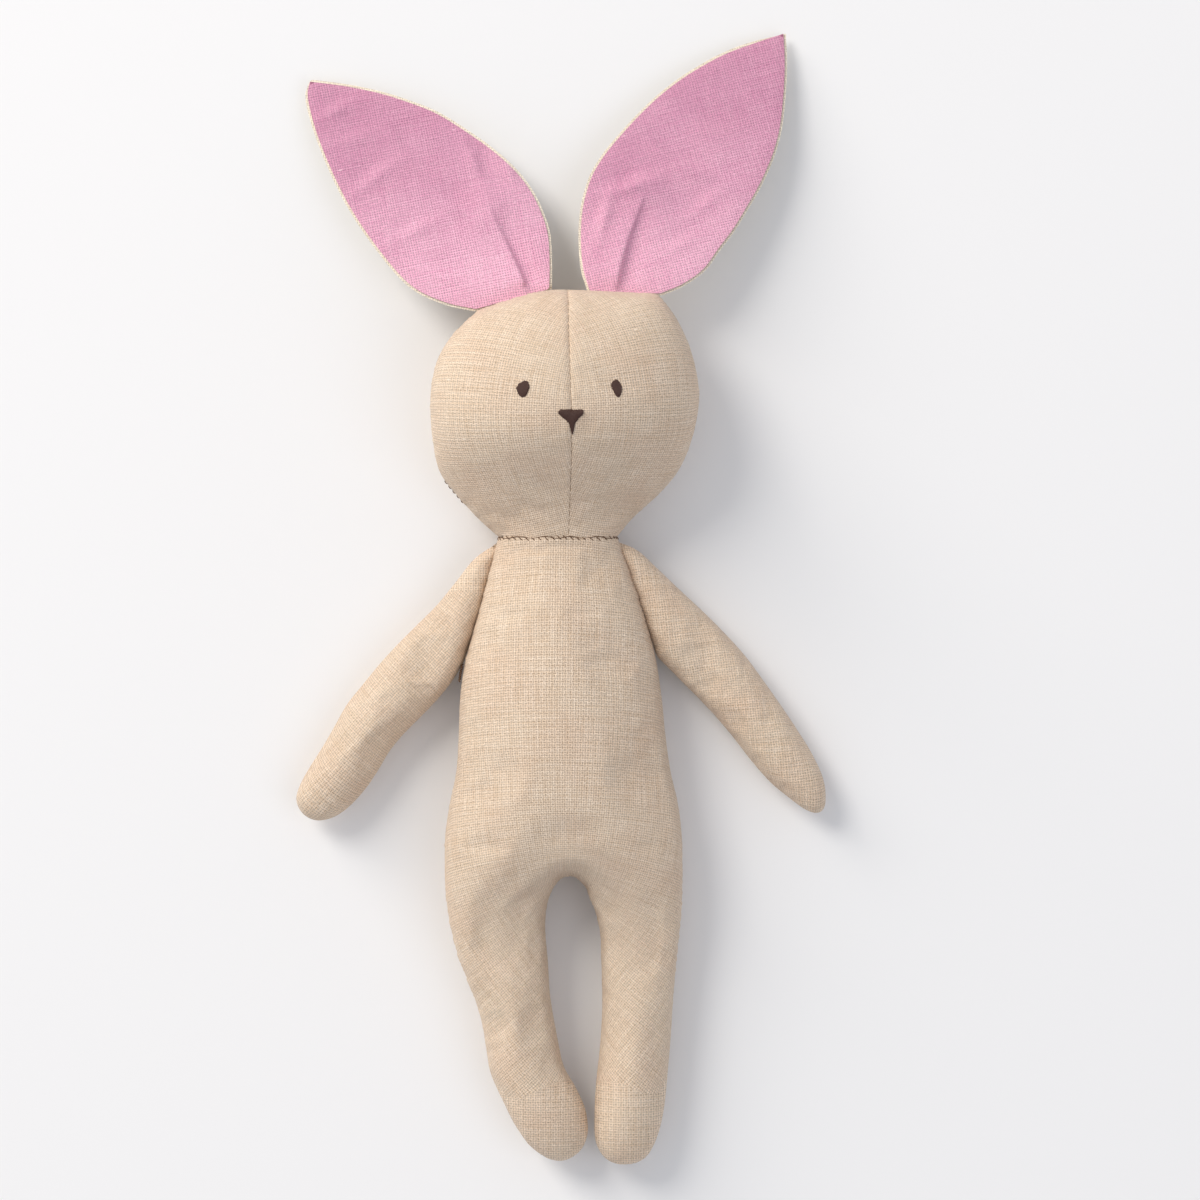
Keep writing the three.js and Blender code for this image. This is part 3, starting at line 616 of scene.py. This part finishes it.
def ear_outline(side, grow=0.0):
    """The curves round an ear, each moved outwards by grow."""
    e = ears[side]
    order = ("base", "outer", "inner") if side == "left" else ("base", "inner", "outer")
    curves = []
    for name in order:
        line = np.array(e[name], float)
        run = np.gradient(line, axis=0)
        out = np.stack([run[:, 1], -run[:, 0]], axis=1) / np.linalg.norm(run, axis=1)[:, None]
        curves.append(line + (0 if name == "base" else grow) * out)
    joined = [c.copy() for c in curves]
    for n, curve in enumerate(joined):
        corner = curves[(n + 1) % 3][0] if order[n] == "base" else curve[-1]
        curve[-1] = corner
        joined[(n + 1) % 3][0] = corner
    return joined


def along_line(points, line):
    """For each point: how far along the line, from 0 to 1, and how far off it, in mm, to its left."""
    fine = through(line, 0.5)
    gap = points[:, None] - fine[None]
    near = np.argmin((gap**2).sum(2), axis=1)
    run = np.gradient(fine, axis=0)[near]
    off = gap[np.arange(len(points)), near]
    side = (run[:, 0] * off[:, 1] - run[:, 1] * off[:, 0]) / np.linalg.norm(run, axis=1)
    return near / (len(fine) - 1), side, np.linalg.norm(off, axis=1)


def ear_height(side, points):
    """The surface between an ear's two layers, in mm."""
    e = ears[side]
    a, b = np.array(e["base"], float)
    run = (b - a) / np.linalg.norm(b - a)
    out = np.array([-run[1], run[0]])
    away = np.maximum((points - a) @ out, -2)
    height = EAR_SEAM - DROOP * away
    share, left, off = along_line(points, e["lip"])
    over = left + 0.3  # positive on the side that laps over
    strength = np.clip(1 - share, 0, 1) ** 0.6 * np.where(share >= 1, 0, 1)
    lip = np.where(over > 0, 2.6 * np.exp(-over / 9), -1.5 * np.exp(-((over + 2.5) / 3.5) ** 2))
    height += strength * lip * np.clip(away / 6, 0.35, 1)
    height += 1.6 * np.exp(-((points - np.array(e["lip"][-1])) ** 2).sum(1) / 60)
    for start, end, depth in e["creases"]:
        share, left, off = along_line(points, [start, end])
        fade = np.exp(-(np.maximum(off - np.abs(left), 0) / 5) ** 2)
        fade = fade * np.sin(math.pi * np.clip(share, 0.12, 0.88))
        height += 1.7 * depth * fade * (np.exp(-(left / 2.0) ** 2) - 0.5 * np.exp(-((left - 4.0) / 3.5) ** 2))
    return height


# %% Cut, press and lay out the ears
def lip_lines(side):
    """The edge of the ear's fold, and the foot of it just beside, so that the fold stays sharp."""
    lip = through(ears[side]["lip"])
    lip = lip[lip[:, 1] > 151.5]
    return [lip, lip + (0.7, 0.0)]


def ear_layer(side, name, grow, low, high):
    """A thin layer of an ear between two heights from the middle surface. Its rim is turned in."""
    net, faces = cloth_net(ear_outline(side, grow), lip_lines(side), step=1.6)
    rim = rim_of(faces)
    middle = ear_height(side, net)
    edge = far_from(net, net[rim])
    puff = 1 - np.exp(-(edge / 1.8) ** 2)
    halfway = 0.5 * (low + high)
    top = middle + halfway + (high - halfway) * puff
    bottom = middle + halfway + (low - halfway) * puff
    number = np.zeros(len(faces), int)
    points, both, panel, _ = bag(net, faces, top, bottom, rim, (number, number + 1))
    points[:, 2] = np.maximum(points[:, 2], CLOTH_LOW)
    made = refined(points, both, panel)
    return piece(name, made["points"], made["faces"], made["weave"], sharp=groove(made, 0.0))


ear_pieces = {}
for side in ears:
    ear_pieces[side] = [
        ear_layer(side, f"ear_{side}_pink", 0.0, 0.05, 0.75),
        ear_layer(side, f"ear_{side}_natural", 0.9, -0.75, -0.05),
    ]

# %% [markdown]
# ## Threads
# Everything sewn by hand is a round thread that can be seen from near by: the satin stitches of
# the eyes and nose, the ladder stitch that joins the head, the stitches that close the openings.
# A thread is drawn as a row of points with a small six-sided ring round each. Its ends taper.

# %% A piece made of threads
def threads(name, paths, thickness):
    """One object of round threads, in mm. Each path is a row of points."""
    points, faces, weave, start = [], [], [], 0
    turn = np.linspace(0, 2 * math.pi, 6, endpoint=False)
    for path in paths:
        path = np.asarray(path, float)
        run = np.gradient(path, axis=0)
        run /= np.maximum(np.linalg.norm(run, axis=1), 1e-9)[:, None]
        side = np.cross(run, (0.13, 0.29, 0.95))
        side /= np.linalg.norm(side, axis=1)[:, None]
        up = np.cross(side, run)
        size = np.full(len(path), thickness / 2)
        size[[0, -1]] *= 0.45
        ring = (path[:, None] + size[:, None, None]
                * (np.cos(turn)[None, :, None] * side[:, None] + np.sin(turn)[None, :, None] * up[:, None]))
        points.append(ring.reshape(-1, 3))
        length = np.r_[0, np.cumsum(np.linalg.norm(np.diff(path, axis=0), axis=1))]
        for n in range(len(path) - 1):
            for k in range(6):
                a, b = start + 6 * n + k, start + 6 * n + (k + 1) % 6
                faces.append((a, b, b + 6, a + 6))
                u0, u1 = k / 6 * thickness * 3, (k + 1) / 6 * thickness * 3
                weave.append([(u0, length[n]), (u1, length[n]), (u1, length[n + 1]), (u0, length[n + 1])])
        for row in (start, start + 6 * (len(path) - 1)):
            for k in (0, 2):
                faces.append((row + k, row + k + 1, row + k + 2, row + (k + 3) % 6))
                weave.append([(0, 0)] * 4)
        start += 6 * len(path)
    return piece(name, np.vstack(points), np.array(faces), np.array(weave, float))


# %% The face's own surface
front_faces = head["faces"][head["panel"] < 2]
face_skin = BVHTree.FromPolygons(head["points"].tolist(), front_faces.tolist())


def on_face(x, y, above=0.0):
    """A point on the face, or a little above it, in mm."""
    hit = face_skin.ray_cast(Vector((x, y, 200)), Vector((0, 0, -1)))[0]
    return np.array([x, y, hit.z + above])


def over_seam(x, y, above):
    """As on_face, but a stitch bridges a valley such as the face seam instead of sinking into it."""
    here, left, right = (on_face(x + shift, y, above) for shift in (0.0, -1.8, 1.8))
    here[2] = max(here[2], 0.5 * (left[2] + right[2]))
    return here


# %% [markdown]
# ## Embroidery
# The eyes and the nose are satin stitch: two strands of dark brown cotton laid side by side until
# the shape is full. The stitches run up and down, lie proud of the linen in the middle and dive
# into it at their ends, so the edge of the shape is a row of small steps. Each eye was stitched by
# hand, and neither is quite like the other.

# %% Satin stitches
chance = np.random.default_rng(7)
STRAND = 0.42  # mm, two strands of embroidery cotton


def satin(name, shape, proud):
    """Upright stitches side by side. shape gives rows of (x, lowest y, highest y)."""
    x, low, high = np.array(shape).T
    at = np.arange(x[0], x[-1] + 0.01, 0.72 * STRAND)
    paths = []
    for place, bottom, top in zip(at, np.interp(at, x, low), np.interp(at, x, high)):
        bottom, top = bottom + chance.uniform(-0.15, 0.15), top + chance.uniform(-0.15, 0.15)
        share = np.linspace(0, 1, 8)
        heights = [-0.2 + proud * math.sin(math.pi * s) ** 0.5 for s in share]
        paths.append([over_seam(place, bottom + s * (top - bottom), z) for s, z in zip(share, heights)])
    return threads(name, paths, STRAND)


eye_right = satin("eye_right_satin", [
    (-17.1, 113.2, 113.9), (-16.6, 111.6, 115.2), (-15.8, 110.5, 115.9), (-14.8, 110.0, 116.4),
    (-13.8, 110.6, 116.7), (-13.1, 112.4, 116.0), (-12.8, 113.5, 114.8)], 0.62)
eye_left = satin("eye_left_satin", [
    (16.4, 114.2, 115.6), (16.9, 112.8, 116.6), (17.6, 111.2, 117.0), (18.4, 110.2, 117.0),
    (19.2, 110.4, 116.0), (19.8, 112.2, 114.8)], 0.62)
nose = satin("nose_satin", [
    (-2.2, 104.5, 105.7), (-1.5, 103.6, 106.2), (0.0, 102.4, 106.3), (1.4, 101.0, 106.2),
    (2.0, 98.6, 106.2), (2.4, 97.0, 106.2), (2.8, 97.6, 106.2), (3.4, 101.0, 106.2), (4.6, 102.6, 106.3),
    (5.8, 103.8, 106.2), (6.5, 104.8, 105.7)], 0.7)

# %% [markdown]
# ## Hand stitches
# The head is joined with a ladder stitch in brown thread that shows as a row of short slanting
# stitches, a little uneven, right round the neck. The head's turning opening, low on the doll's
# right, and a gap under its right arm are closed with the same thread. The face seam was sewn by
# machine, so only the thread down in the seam shows. It is drawn as a fine dark line in the colour
# of linen in shade, so the line is both the thread and painted shade of the seam's groove.

# %% The neck, the openings and the face seam
THREAD = 0.5  # mm, doubled sewing thread
NECK_THREAD, CLOSING_THREAD, MACHINE_THREAD = 0.66 * THREAD, 0.32, 0.22  # mm
NECK_PITCH = 2.5  # mm from one ladder stitch to the next


def ring_points(made, y):
    """The points of an open edge at this y, in order round the neck."""
    points = made["points"]
    rim = points[np.abs(points[:, 1] - y) < 0.4]
    turn = np.arctan2(rim[:, 2] - NECK_Z, rim[:, 0] - NECK_X)
    return rim[np.argsort(turn)], np.sort(turn)


ring, turns = ring_points(body, NECK_Y)
stitches = []
neck_girth = np.linalg.norm(np.diff(ring, axis=0), axis=1).sum()
count = round(neck_girth / NECK_PITCH)
for n in range(count):
    angle = -math.pi + 2 * math.pi * (n + 0.5) / count
    path = []
    for share in np.linspace(-1, 1, 7):
        at = angle + share * 0.72 * math.pi / count
        x, z = (np.interp(at, turns, ring[:, k], period=2 * math.pi) for k in (0, 2))
        out = np.array([x - NECK_X, 0, z - NECK_Z])
        out /= np.linalg.norm(out)
        rise = 0.1 + 0.25 * (1 - share * share)
        wander = 0.35 * math.sin(5.3 * angle) - 0.6
        path.append(np.array([x, NECK_Y + 0.75 * share + wander, z]) + rise * out)
    stitches.append(path)
# the thread also shows as one wavy line where the two edges meet
neck_line = []
for angle in np.linspace(-math.pi, math.pi, 260):
    x, z = (np.interp(angle, turns, ring[:, k], period=2 * math.pi) for k in (0, 2))
    out = np.array([x - NECK_X, 0, z - NECK_Z]) / math.hypot(x - NECK_X, z - NECK_Z)
    neck_line.append(np.array([x, NECK_Y - 0.25 + 0.3 * math.sin(11 * angle), z]) + 0.06 * out)
stitches.append(neck_line)
neck_stitches = threads("neck_ladder_stitches", stitches, NECK_THREAD)


def whip(name, edge, pitch, reach, thickness=THREAD):
    """Short stitches over a sewn edge, from one side to the other."""
    line = through(edge, pitch)
    run = np.gradient(line, axis=0)
    run /= np.linalg.norm(run, axis=1)[:, None]
    paths = []
    for place, way in zip(line, run):
        out = np.cross(way, (0, 0, 1))
        paths.append([place + out * (0.05 + reach * math.cos(a)) + np.array([0, 0, 1.5 * reach]) * math.sin(a)
                      + way * 0.4 * a for a in np.linspace(-1.9, 1.9, 9)])
    return threads(name, paths, thickness)


def right_edge(y):
    """The point of the head's side seam at this y, on the doll's right, in mm."""
    near = head["points"][np.abs(head["points"][:, 1] - y) < 1.5]
    return near[near[:, 0].argmin()]


closing_edge = [right_edge(y) for y in (80.4, 78.0, 75.6, 73.2)]
head_stitches = whip("head_closing_whip", closing_edge, 2.6, 0.22, CLOSING_THREAD)
armpit_edge = [(-37.2, 15.2, 17.0), (-37.7, 12.8, 17.0), (-38.1, 10.2, 17.0)]
armpit_stitches = whip("armpit_knot_thread", armpit_edge, 0.9, 0.5)

MACHINE_PITCH = 3.0  # mm from one machine stitch to the next
dashes = []
for start in np.arange(62.6, 144.0, MACHINE_PITCH):
    dash = np.linspace(start, start + 0.8 * MACHINE_PITCH, 6)
    dashes.append([on_face(float(face_seam_x(y)), y, -0.02) for y in dash])
face_thread = threads("face_seam_thread", dashes, MACHINE_THREAD)

# %% [markdown]
# ## Materials
# Three linens, two brown threads and the table. Each colour is written as the hex value that is
# seen on a screen and turned to linear light by one function. One more function adds a node with
# its settings and links, so that a material reads as a list of what it is made of.

# %% Colour, and a node
def linear(code):
    """A hex colour as seen on a screen, in linear light."""
    parts = [int(code[n:n + 2], 16) / 255 for n in (1, 3, 5)]
    return [c / 12.92 if c <= 0.04045 else ((c + 0.055) / 1.055) ** 2.4 for c in parts] + [1.0]


def add(tree, kind, inputs=(), **settings):
    """Adds a node. inputs gives each socket a value, or another node's socket to link."""
    made = tree.nodes.new("ShaderNode" + kind)
    for name, value in settings.items():
        setattr(made, name, value)
    for name, value in dict(inputs).items():
        if isinstance(value, bpy.types.NodeSocket):
            tree.links.new(value, made.inputs[name])
        else:
            made.inputs[name].default_value = value
    return made


def new_material(name):
    made = bpy.data.materials.new(name)
    made.use_nodes = True
    made.node_tree.nodes.clear()
    return made, made.node_tree


# %% Nodes used again and again
def ramp(tree, value, start, end, to=(0.0, 1.0)):
    """The range from start to end, spread over another range and held at its ends."""
    return add(tree, "MapRange", {"Value": value, "From Min": start, "From Max": end,
                                  "To Min": to[0], "To Max": to[1]}).outputs[0]


def calc(tree, operation, *values):
    """Arithmetic on up to three values, each a number or a socket."""
    return add(tree, "Math", dict(enumerate(values)), operation=operation).outputs[0]


def blended(tree, share, a, b, how="MIX"):
    """Two colours, mixed or multiplied."""
    return add(tree, "Mix", {"Factor": share, "A": a, "B": b}, data_type="RGBA",
               blend_type=how).outputs["Result"]


def noise(tree, place, scale, detail, rough=0.5):
    return add(tree, "TexNoise", {"Vector": place, "Scale": scale, "Detail": detail,
                                  "Roughness": rough}).outputs[0]


# %% [markdown]
# ### Plain-weave linen
# Linen is spun from flax and woven one over, one under. Flax fibres are long, stiff and uneven, so
# single threads are thicker or paler than their neighbours for a centimetre or two, and small
# thick places, slubs, catch the light. The cloth is matt (roughness about 0.9, IOR 1.5) with a
# faint sheen from loose fibres. The threads of such linen lie about 0.5 mm apart. They are drawn
# 0.9 mm apart, which is as fine as the whole doll in view can show.

# %% Linen
THREAD_GAP = 0.9  # mm


def linen(name, plain, thread_light, thread_dark, blush, tip=None):
    made, tree = new_material(name)
    place = add(tree, "UVMap", uv_map="weave").outputs[0]
    axes = add(tree, "SeparateXYZ", {0: place}).outputs

    def wave(axis, offset=0.0):
        return calc(tree, "SINE", calc(tree, "MULTIPLY_ADD", axis, math.pi / THREAD_GAP, offset))

    def streaks(stretch, seed, detail=2.0):
        """Noise drawn out along the threads: each streak is one uneven thread."""
        moved = add(tree, "Mapping", {"Vector": place, "Location": (seed, 3 * seed, 0),
                                      "Scale": (*stretch, 1)})
        return noise(tree, moved.outputs[0], 1.0, detail, 0.6)

    warp = calc(tree, "ABSOLUTE", wave(axes[0]))
    weft = calc(tree, "ABSOLUTE", wave(axes[1]))
    checks = calc(tree, "MULTIPLY", wave(axes[0], math.pi / 2), wave(axes[1], math.pi / 2))
    over = ramp(tree, checks, -0.35, 0.35)
    height = add(tree, "Mix", {"Factor": over, "A": warp, "B": weft}).outputs[0]
    along_weft = streaks((0.055, 1.15), 11.0)
    along_warp = streaks((1.15, 0.055), 47.0)
    uneven = add(tree, "Mix", {"Factor": over, "A": along_warp, "B": along_weft}).outputs[0]
    shade = ramp(tree, uneven, 0.3, 0.7)
    yarn = blended(tree, shade, linear(thread_dark), linear(thread_light))
    body = blended(tree, 0.5, linear(plain), yarn)
    # the gaps between threads are in shadow
    gaps = ramp(tree, height, 0.0, 0.8, to=(0.58, 1.1))
    # each crossing is a little paler or darker than the next
    grain = ramp(tree, noise(tree, place, 1.1, 3.0, 0.75), 0.3, 0.7, to=(0.8, 1.18))
    gaps = calc(tree, "MULTIPLY", gaps, grain)
    shaded = add(tree, "VectorMath", {0: body, "Scale": gaps}, operation="SCALE").outputs[0]
    # faint wide patches, where the cloth has been pressed and handled
    spread = ramp(tree, noise(tree, place, 0.045, 3.0, 0.55), 0.42, 0.68, to=(0.0, 0.25))
    tinted = blended(tree, spread, shaded, linear(blush), "MULTIPLY")
    if tip:
        # ears: the pink is darker from the base towards the tip
        high = calc(tree, "MULTIPLY_ADD", noise(tree, place, 0.03, 2.0), 70.0, axes[1])
        tinted = blended(tree, ramp(tree, high, 182.0, 246.0), tinted, linear(tip), "MULTIPLY")
    # slubs: short pale thick places
    knots = ramp(tree, streaks((0.3, 1.3), 83.0, 0.0), 0.82, 0.95)
    final = blended(tree, knots, tinted, linear(thread_light))
    thick = calc(tree, "MULTIPLY_ADD", shade, 0.45, height)
    thicker = calc(tree, "MULTIPLY_ADD", knots, 0.6, thick)
    bump = add(tree, "Bump", {"Height": thicker, "Strength": 0.6, "Distance": 0.0003}).outputs[0]
    rough = ramp(tree, shade, 0.0, 1.0, to=(0.84, 0.95))
    skin = add(tree, "BsdfPrincipled", {
        "Base Color": final, "Roughness": rough, "IOR": 1.5, "Normal": bump, "Specular IOR Level": 0.3,
        "Sheen Weight": 0.12, "Sheen Roughness": 0.5})
    add(tree, "OutputMaterial", {"Surface": skin.outputs[0]})
    return made


oatmeal = linen("oatmeal_plain_weave_linen", "#dfc8b0", "#f3e5d4", "#bfa587", "#f2e0da")
pink = linen("pink_plain_weave_linen", "#f0b4cd", "#fbd0df", "#d998b6", "#f4dfe8", tip="#e2d4de")
natural = linen("natural_plain_weave_linen", "#f4e9d6", "#fbf4e6", "#e4d5bc", "#f4ece6")


# %% [markdown]
# ### Stranded cotton and sewing thread
# Embroidery cotton is mercerised: smooth, slightly glossy along the strand (roughness about 0.5),
# and twisted from fine plies, drawn here as slanting ridges 0.45 mm apart, with painted shade in
# the grooves between them. The sewing thread is duller, and the brown is paler where it is pulled
# thin over the linen.

# %% Threads
PLY_GAP = 0.45  # mm


def twisted(name, dark, light, rough, sheen):
    made, tree = new_material(name)
    place = add(tree, "UVMap", uv_map="weave").outputs[0]
    axes = add(tree, "SeparateXYZ", {0: place}).outputs
    slant = calc(tree, "MULTIPLY_ADD", axes[0], 0.45, axes[1])
    ply = calc(tree, "SINE", calc(tree, "MULTIPLY", slant, 2 * math.pi / PLY_GAP))
    share = ramp(tree, ply, -1.0, 1.0)
    fibres = noise(tree, place, 2.5, 3.0)
    # painted shade: the grooves between the plies are darker and the ridges paler, and the fibre noise makes it
    # uneven
    colour = blended(tree, calc(tree, "MULTIPLY", share, fibres), linear(dark), linear(light))
    bump = add(tree, "Bump", {"Height": share, "Strength": 0.5, "Distance": 0.0001}).outputs[0]
    skin = add(tree, "BsdfPrincipled", {
        "Base Color": colour, "Roughness": rough, "IOR": 1.5, "Normal": bump, "Sheen Weight": sheen,
        "Sheen Roughness": 0.4})
    add(tree, "OutputMaterial", {"Surface": skin.outputs[0]})
    return made


brown_cotton = twisted("dark_brown_stranded_cotton", "#3a2019", "#5e3a2c", 0.55, 0.05)
brown_thread = twisted("brown_sewing_thread", "#573a26", "#83603f", 0.7, 0.05)
# the thread in the face seam is coloured as linen in shade: painted shade of the seam's groove, laid on the real
# thread
seam_thread_and_shade = twisted("shaded_seam_thread", "#6b5138", "#8f7152", 0.8, 0.0)

# %% [markdown]
# ## Putting it together
# Each piece takes its material and the model's soft solids that it stands for. The eyes, the nose
# and the armpit stitches also hang from the body that they move with; every other piece keeps its
# place in the model's frame.

# %% Materials, bodies and what each piece stands for
def dress(made, material, stands_for=()):
    made.data.materials.append(material)
    if stands_for:
        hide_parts(*stands_for)


def neck_bend(made):
    """Fixes the piece's place into its points; it stays where it lies."""
    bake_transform(made)


def hip_bend(made):
    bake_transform(made)


for face, made in body_pieces.items():
    for name, part in made.items():
        stands = [f"body_{face}_panel"]
        if face == "back":
            stands += ["torso_stuffing"] if name.endswith("chest") else [f"leg_{name.split('_')[-1]}_stuffing"]
        dress(part, oatmeal, stands)
        if name.endswith("chest"):
            neck_bend(part)
        else:
            hip_bend(part)
for name, part in head_pieces.items():
    stands = {"face_left": ["face_panel_left"], "face_right": ["face_panel_right"],
              "head_back": ["head_back_panel", "head_stuffing"]}[name]
    dress(part, oatmeal, stands)
    neck_bend(part)
for side, made in arm_pieces.items():
    root = np.array([ARMPIT_LEFT, NECK_LEFT] if side == "left" else [NECK_RIGHT, ARMPIT_RIGHT])
    run = root[1] - root[0]
    out = np.array([run[1], -run[0]]) / np.linalg.norm(run)
    middle = root.mean(0)
    for name, part in made.items():
        stands = [f"{name}_panel"] + ([f"arm_{side}_stuffing"] if name.endswith("back") else [])
        dress(part, oatmeal, stands)
        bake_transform(part)
for side in ears:
    x, y = np.vstack([through(curve)[:-1] for curve in ear_outline(side)]).T

for side, (front, back) in ear_pieces.items():
    dress(front, pink, [f"ear_{side}_lining"])
    dress(back, natural, [f"ear_{side}_back"])
    a, b = np.array(ears[side]["base"], float)
    run = (b - a) / np.linalg.norm(b - a)
    out = np.array([-run[1], run[0]])
    middle = 0.5 * (a + b)
    for part in (front, back):
        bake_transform(part)

dress(neck_stitches, brown_thread, ["neck_stitching"])
neck_bend(neck_stitches)
dress(head_stitches, brown_thread, ["head_closing_stitches"])
dress(armpit_stitches, brown_thread, ["armpit_knot"])
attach(armpit_stitches, "torso")
dress(face_thread, seam_thread_and_shade)
neck_bend(head_stitches)
neck_bend(face_thread)
for made, node in ((eye_left, "eye_left"), (eye_right, "eye_right"), (nose, "nose")):
    dress(made, brown_cotton, [node])
    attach(made, "head")

# %% [markdown]
# ## The table, the light and the camera
# The doll lies on a plain white table. Two big soft lights stand high and low on its upper right,
# as by a tall window, and a weak one on the other side fills the shadows, as a white room does.
# The camera looks straight down.

# %% Table
floor_mesh = bpy.data.meshes.new("table")
floor_mesh.from_pydata([(-3, -3, 0), (3, -3, 0), (3, 3, 0), (-3, 3, 0)], [], [(0, 1, 2, 3)])
table = bpy.data.objects.new("table", floor_mesh)
bpy.context.scene.collection.objects.link(table)
white, tree = new_material("white_painted_table")
grain = add(tree, "TexNoise", {"Scale": 6.0, "Detail": 2.0})
tone = add(tree, "Mix", {"Factor": grain.outputs[0], "A": linear("#f0f0f1"), "B": linear("#f3f3f4")},
           data_type="RGBA")
paint = add(tree, "BsdfPrincipled", {"Base Color": tone.outputs["Result"], "Roughness": 0.9,
                                     "Specular IOR Level": 0.1})
add(tree, "OutputMaterial", {"Surface": paint.outputs[0]})
floor_mesh.materials.append(white)

# %% Light
def soft_light(name, place, size, power, colour):
    lamp = bpy.data.lights.new(name, "AREA")
    lamp.shape, lamp.size, lamp.energy, lamp.color = "DISK", size, power, linear(colour)[:3]
    made = bpy.data.objects.new(name, lamp)
    bpy.context.scene.collection.objects.link(made)
    made.location = place
    made.rotation_euler = (Vector((0, 0.05, 0)) - Vector(place)).to_track_quat("-Z", "Y").to_euler()


soft_light("window", (-1.75, 1.75, 2.48), 1.5, 50.0, "#fffaf2")
soft_light("low window", (-2.3, 2.3, 1.2), 1.8, 50.0, "#fff8ee")
soft_light("fill", (1.8, -0.8, 2.8), 2.4, 14.0, "#f2f5ff")
world = bpy.data.worlds.new("room")
bpy.context.scene.world = world
world.use_nodes = True
world.node_tree.nodes["Background"].inputs["Color"].default_value = linear("#f8faff")
world.node_tree.nodes["Background"].inputs["Strength"].default_value = 0.56
bpy.context.scene.view_settings.view_transform = "Standard"

# %% Camera
camera_lens = bpy.data.cameras.new("camera")
camera_lens.lens, camera_lens.sensor_width = 150, 36
camera = bpy.data.objects.new("camera", camera_lens)
bpy.context.scene.collection.objects.link(camera)
camera.location = (0.01224, 0.03906, 1.82)
bpy.context.scene.camera = camera
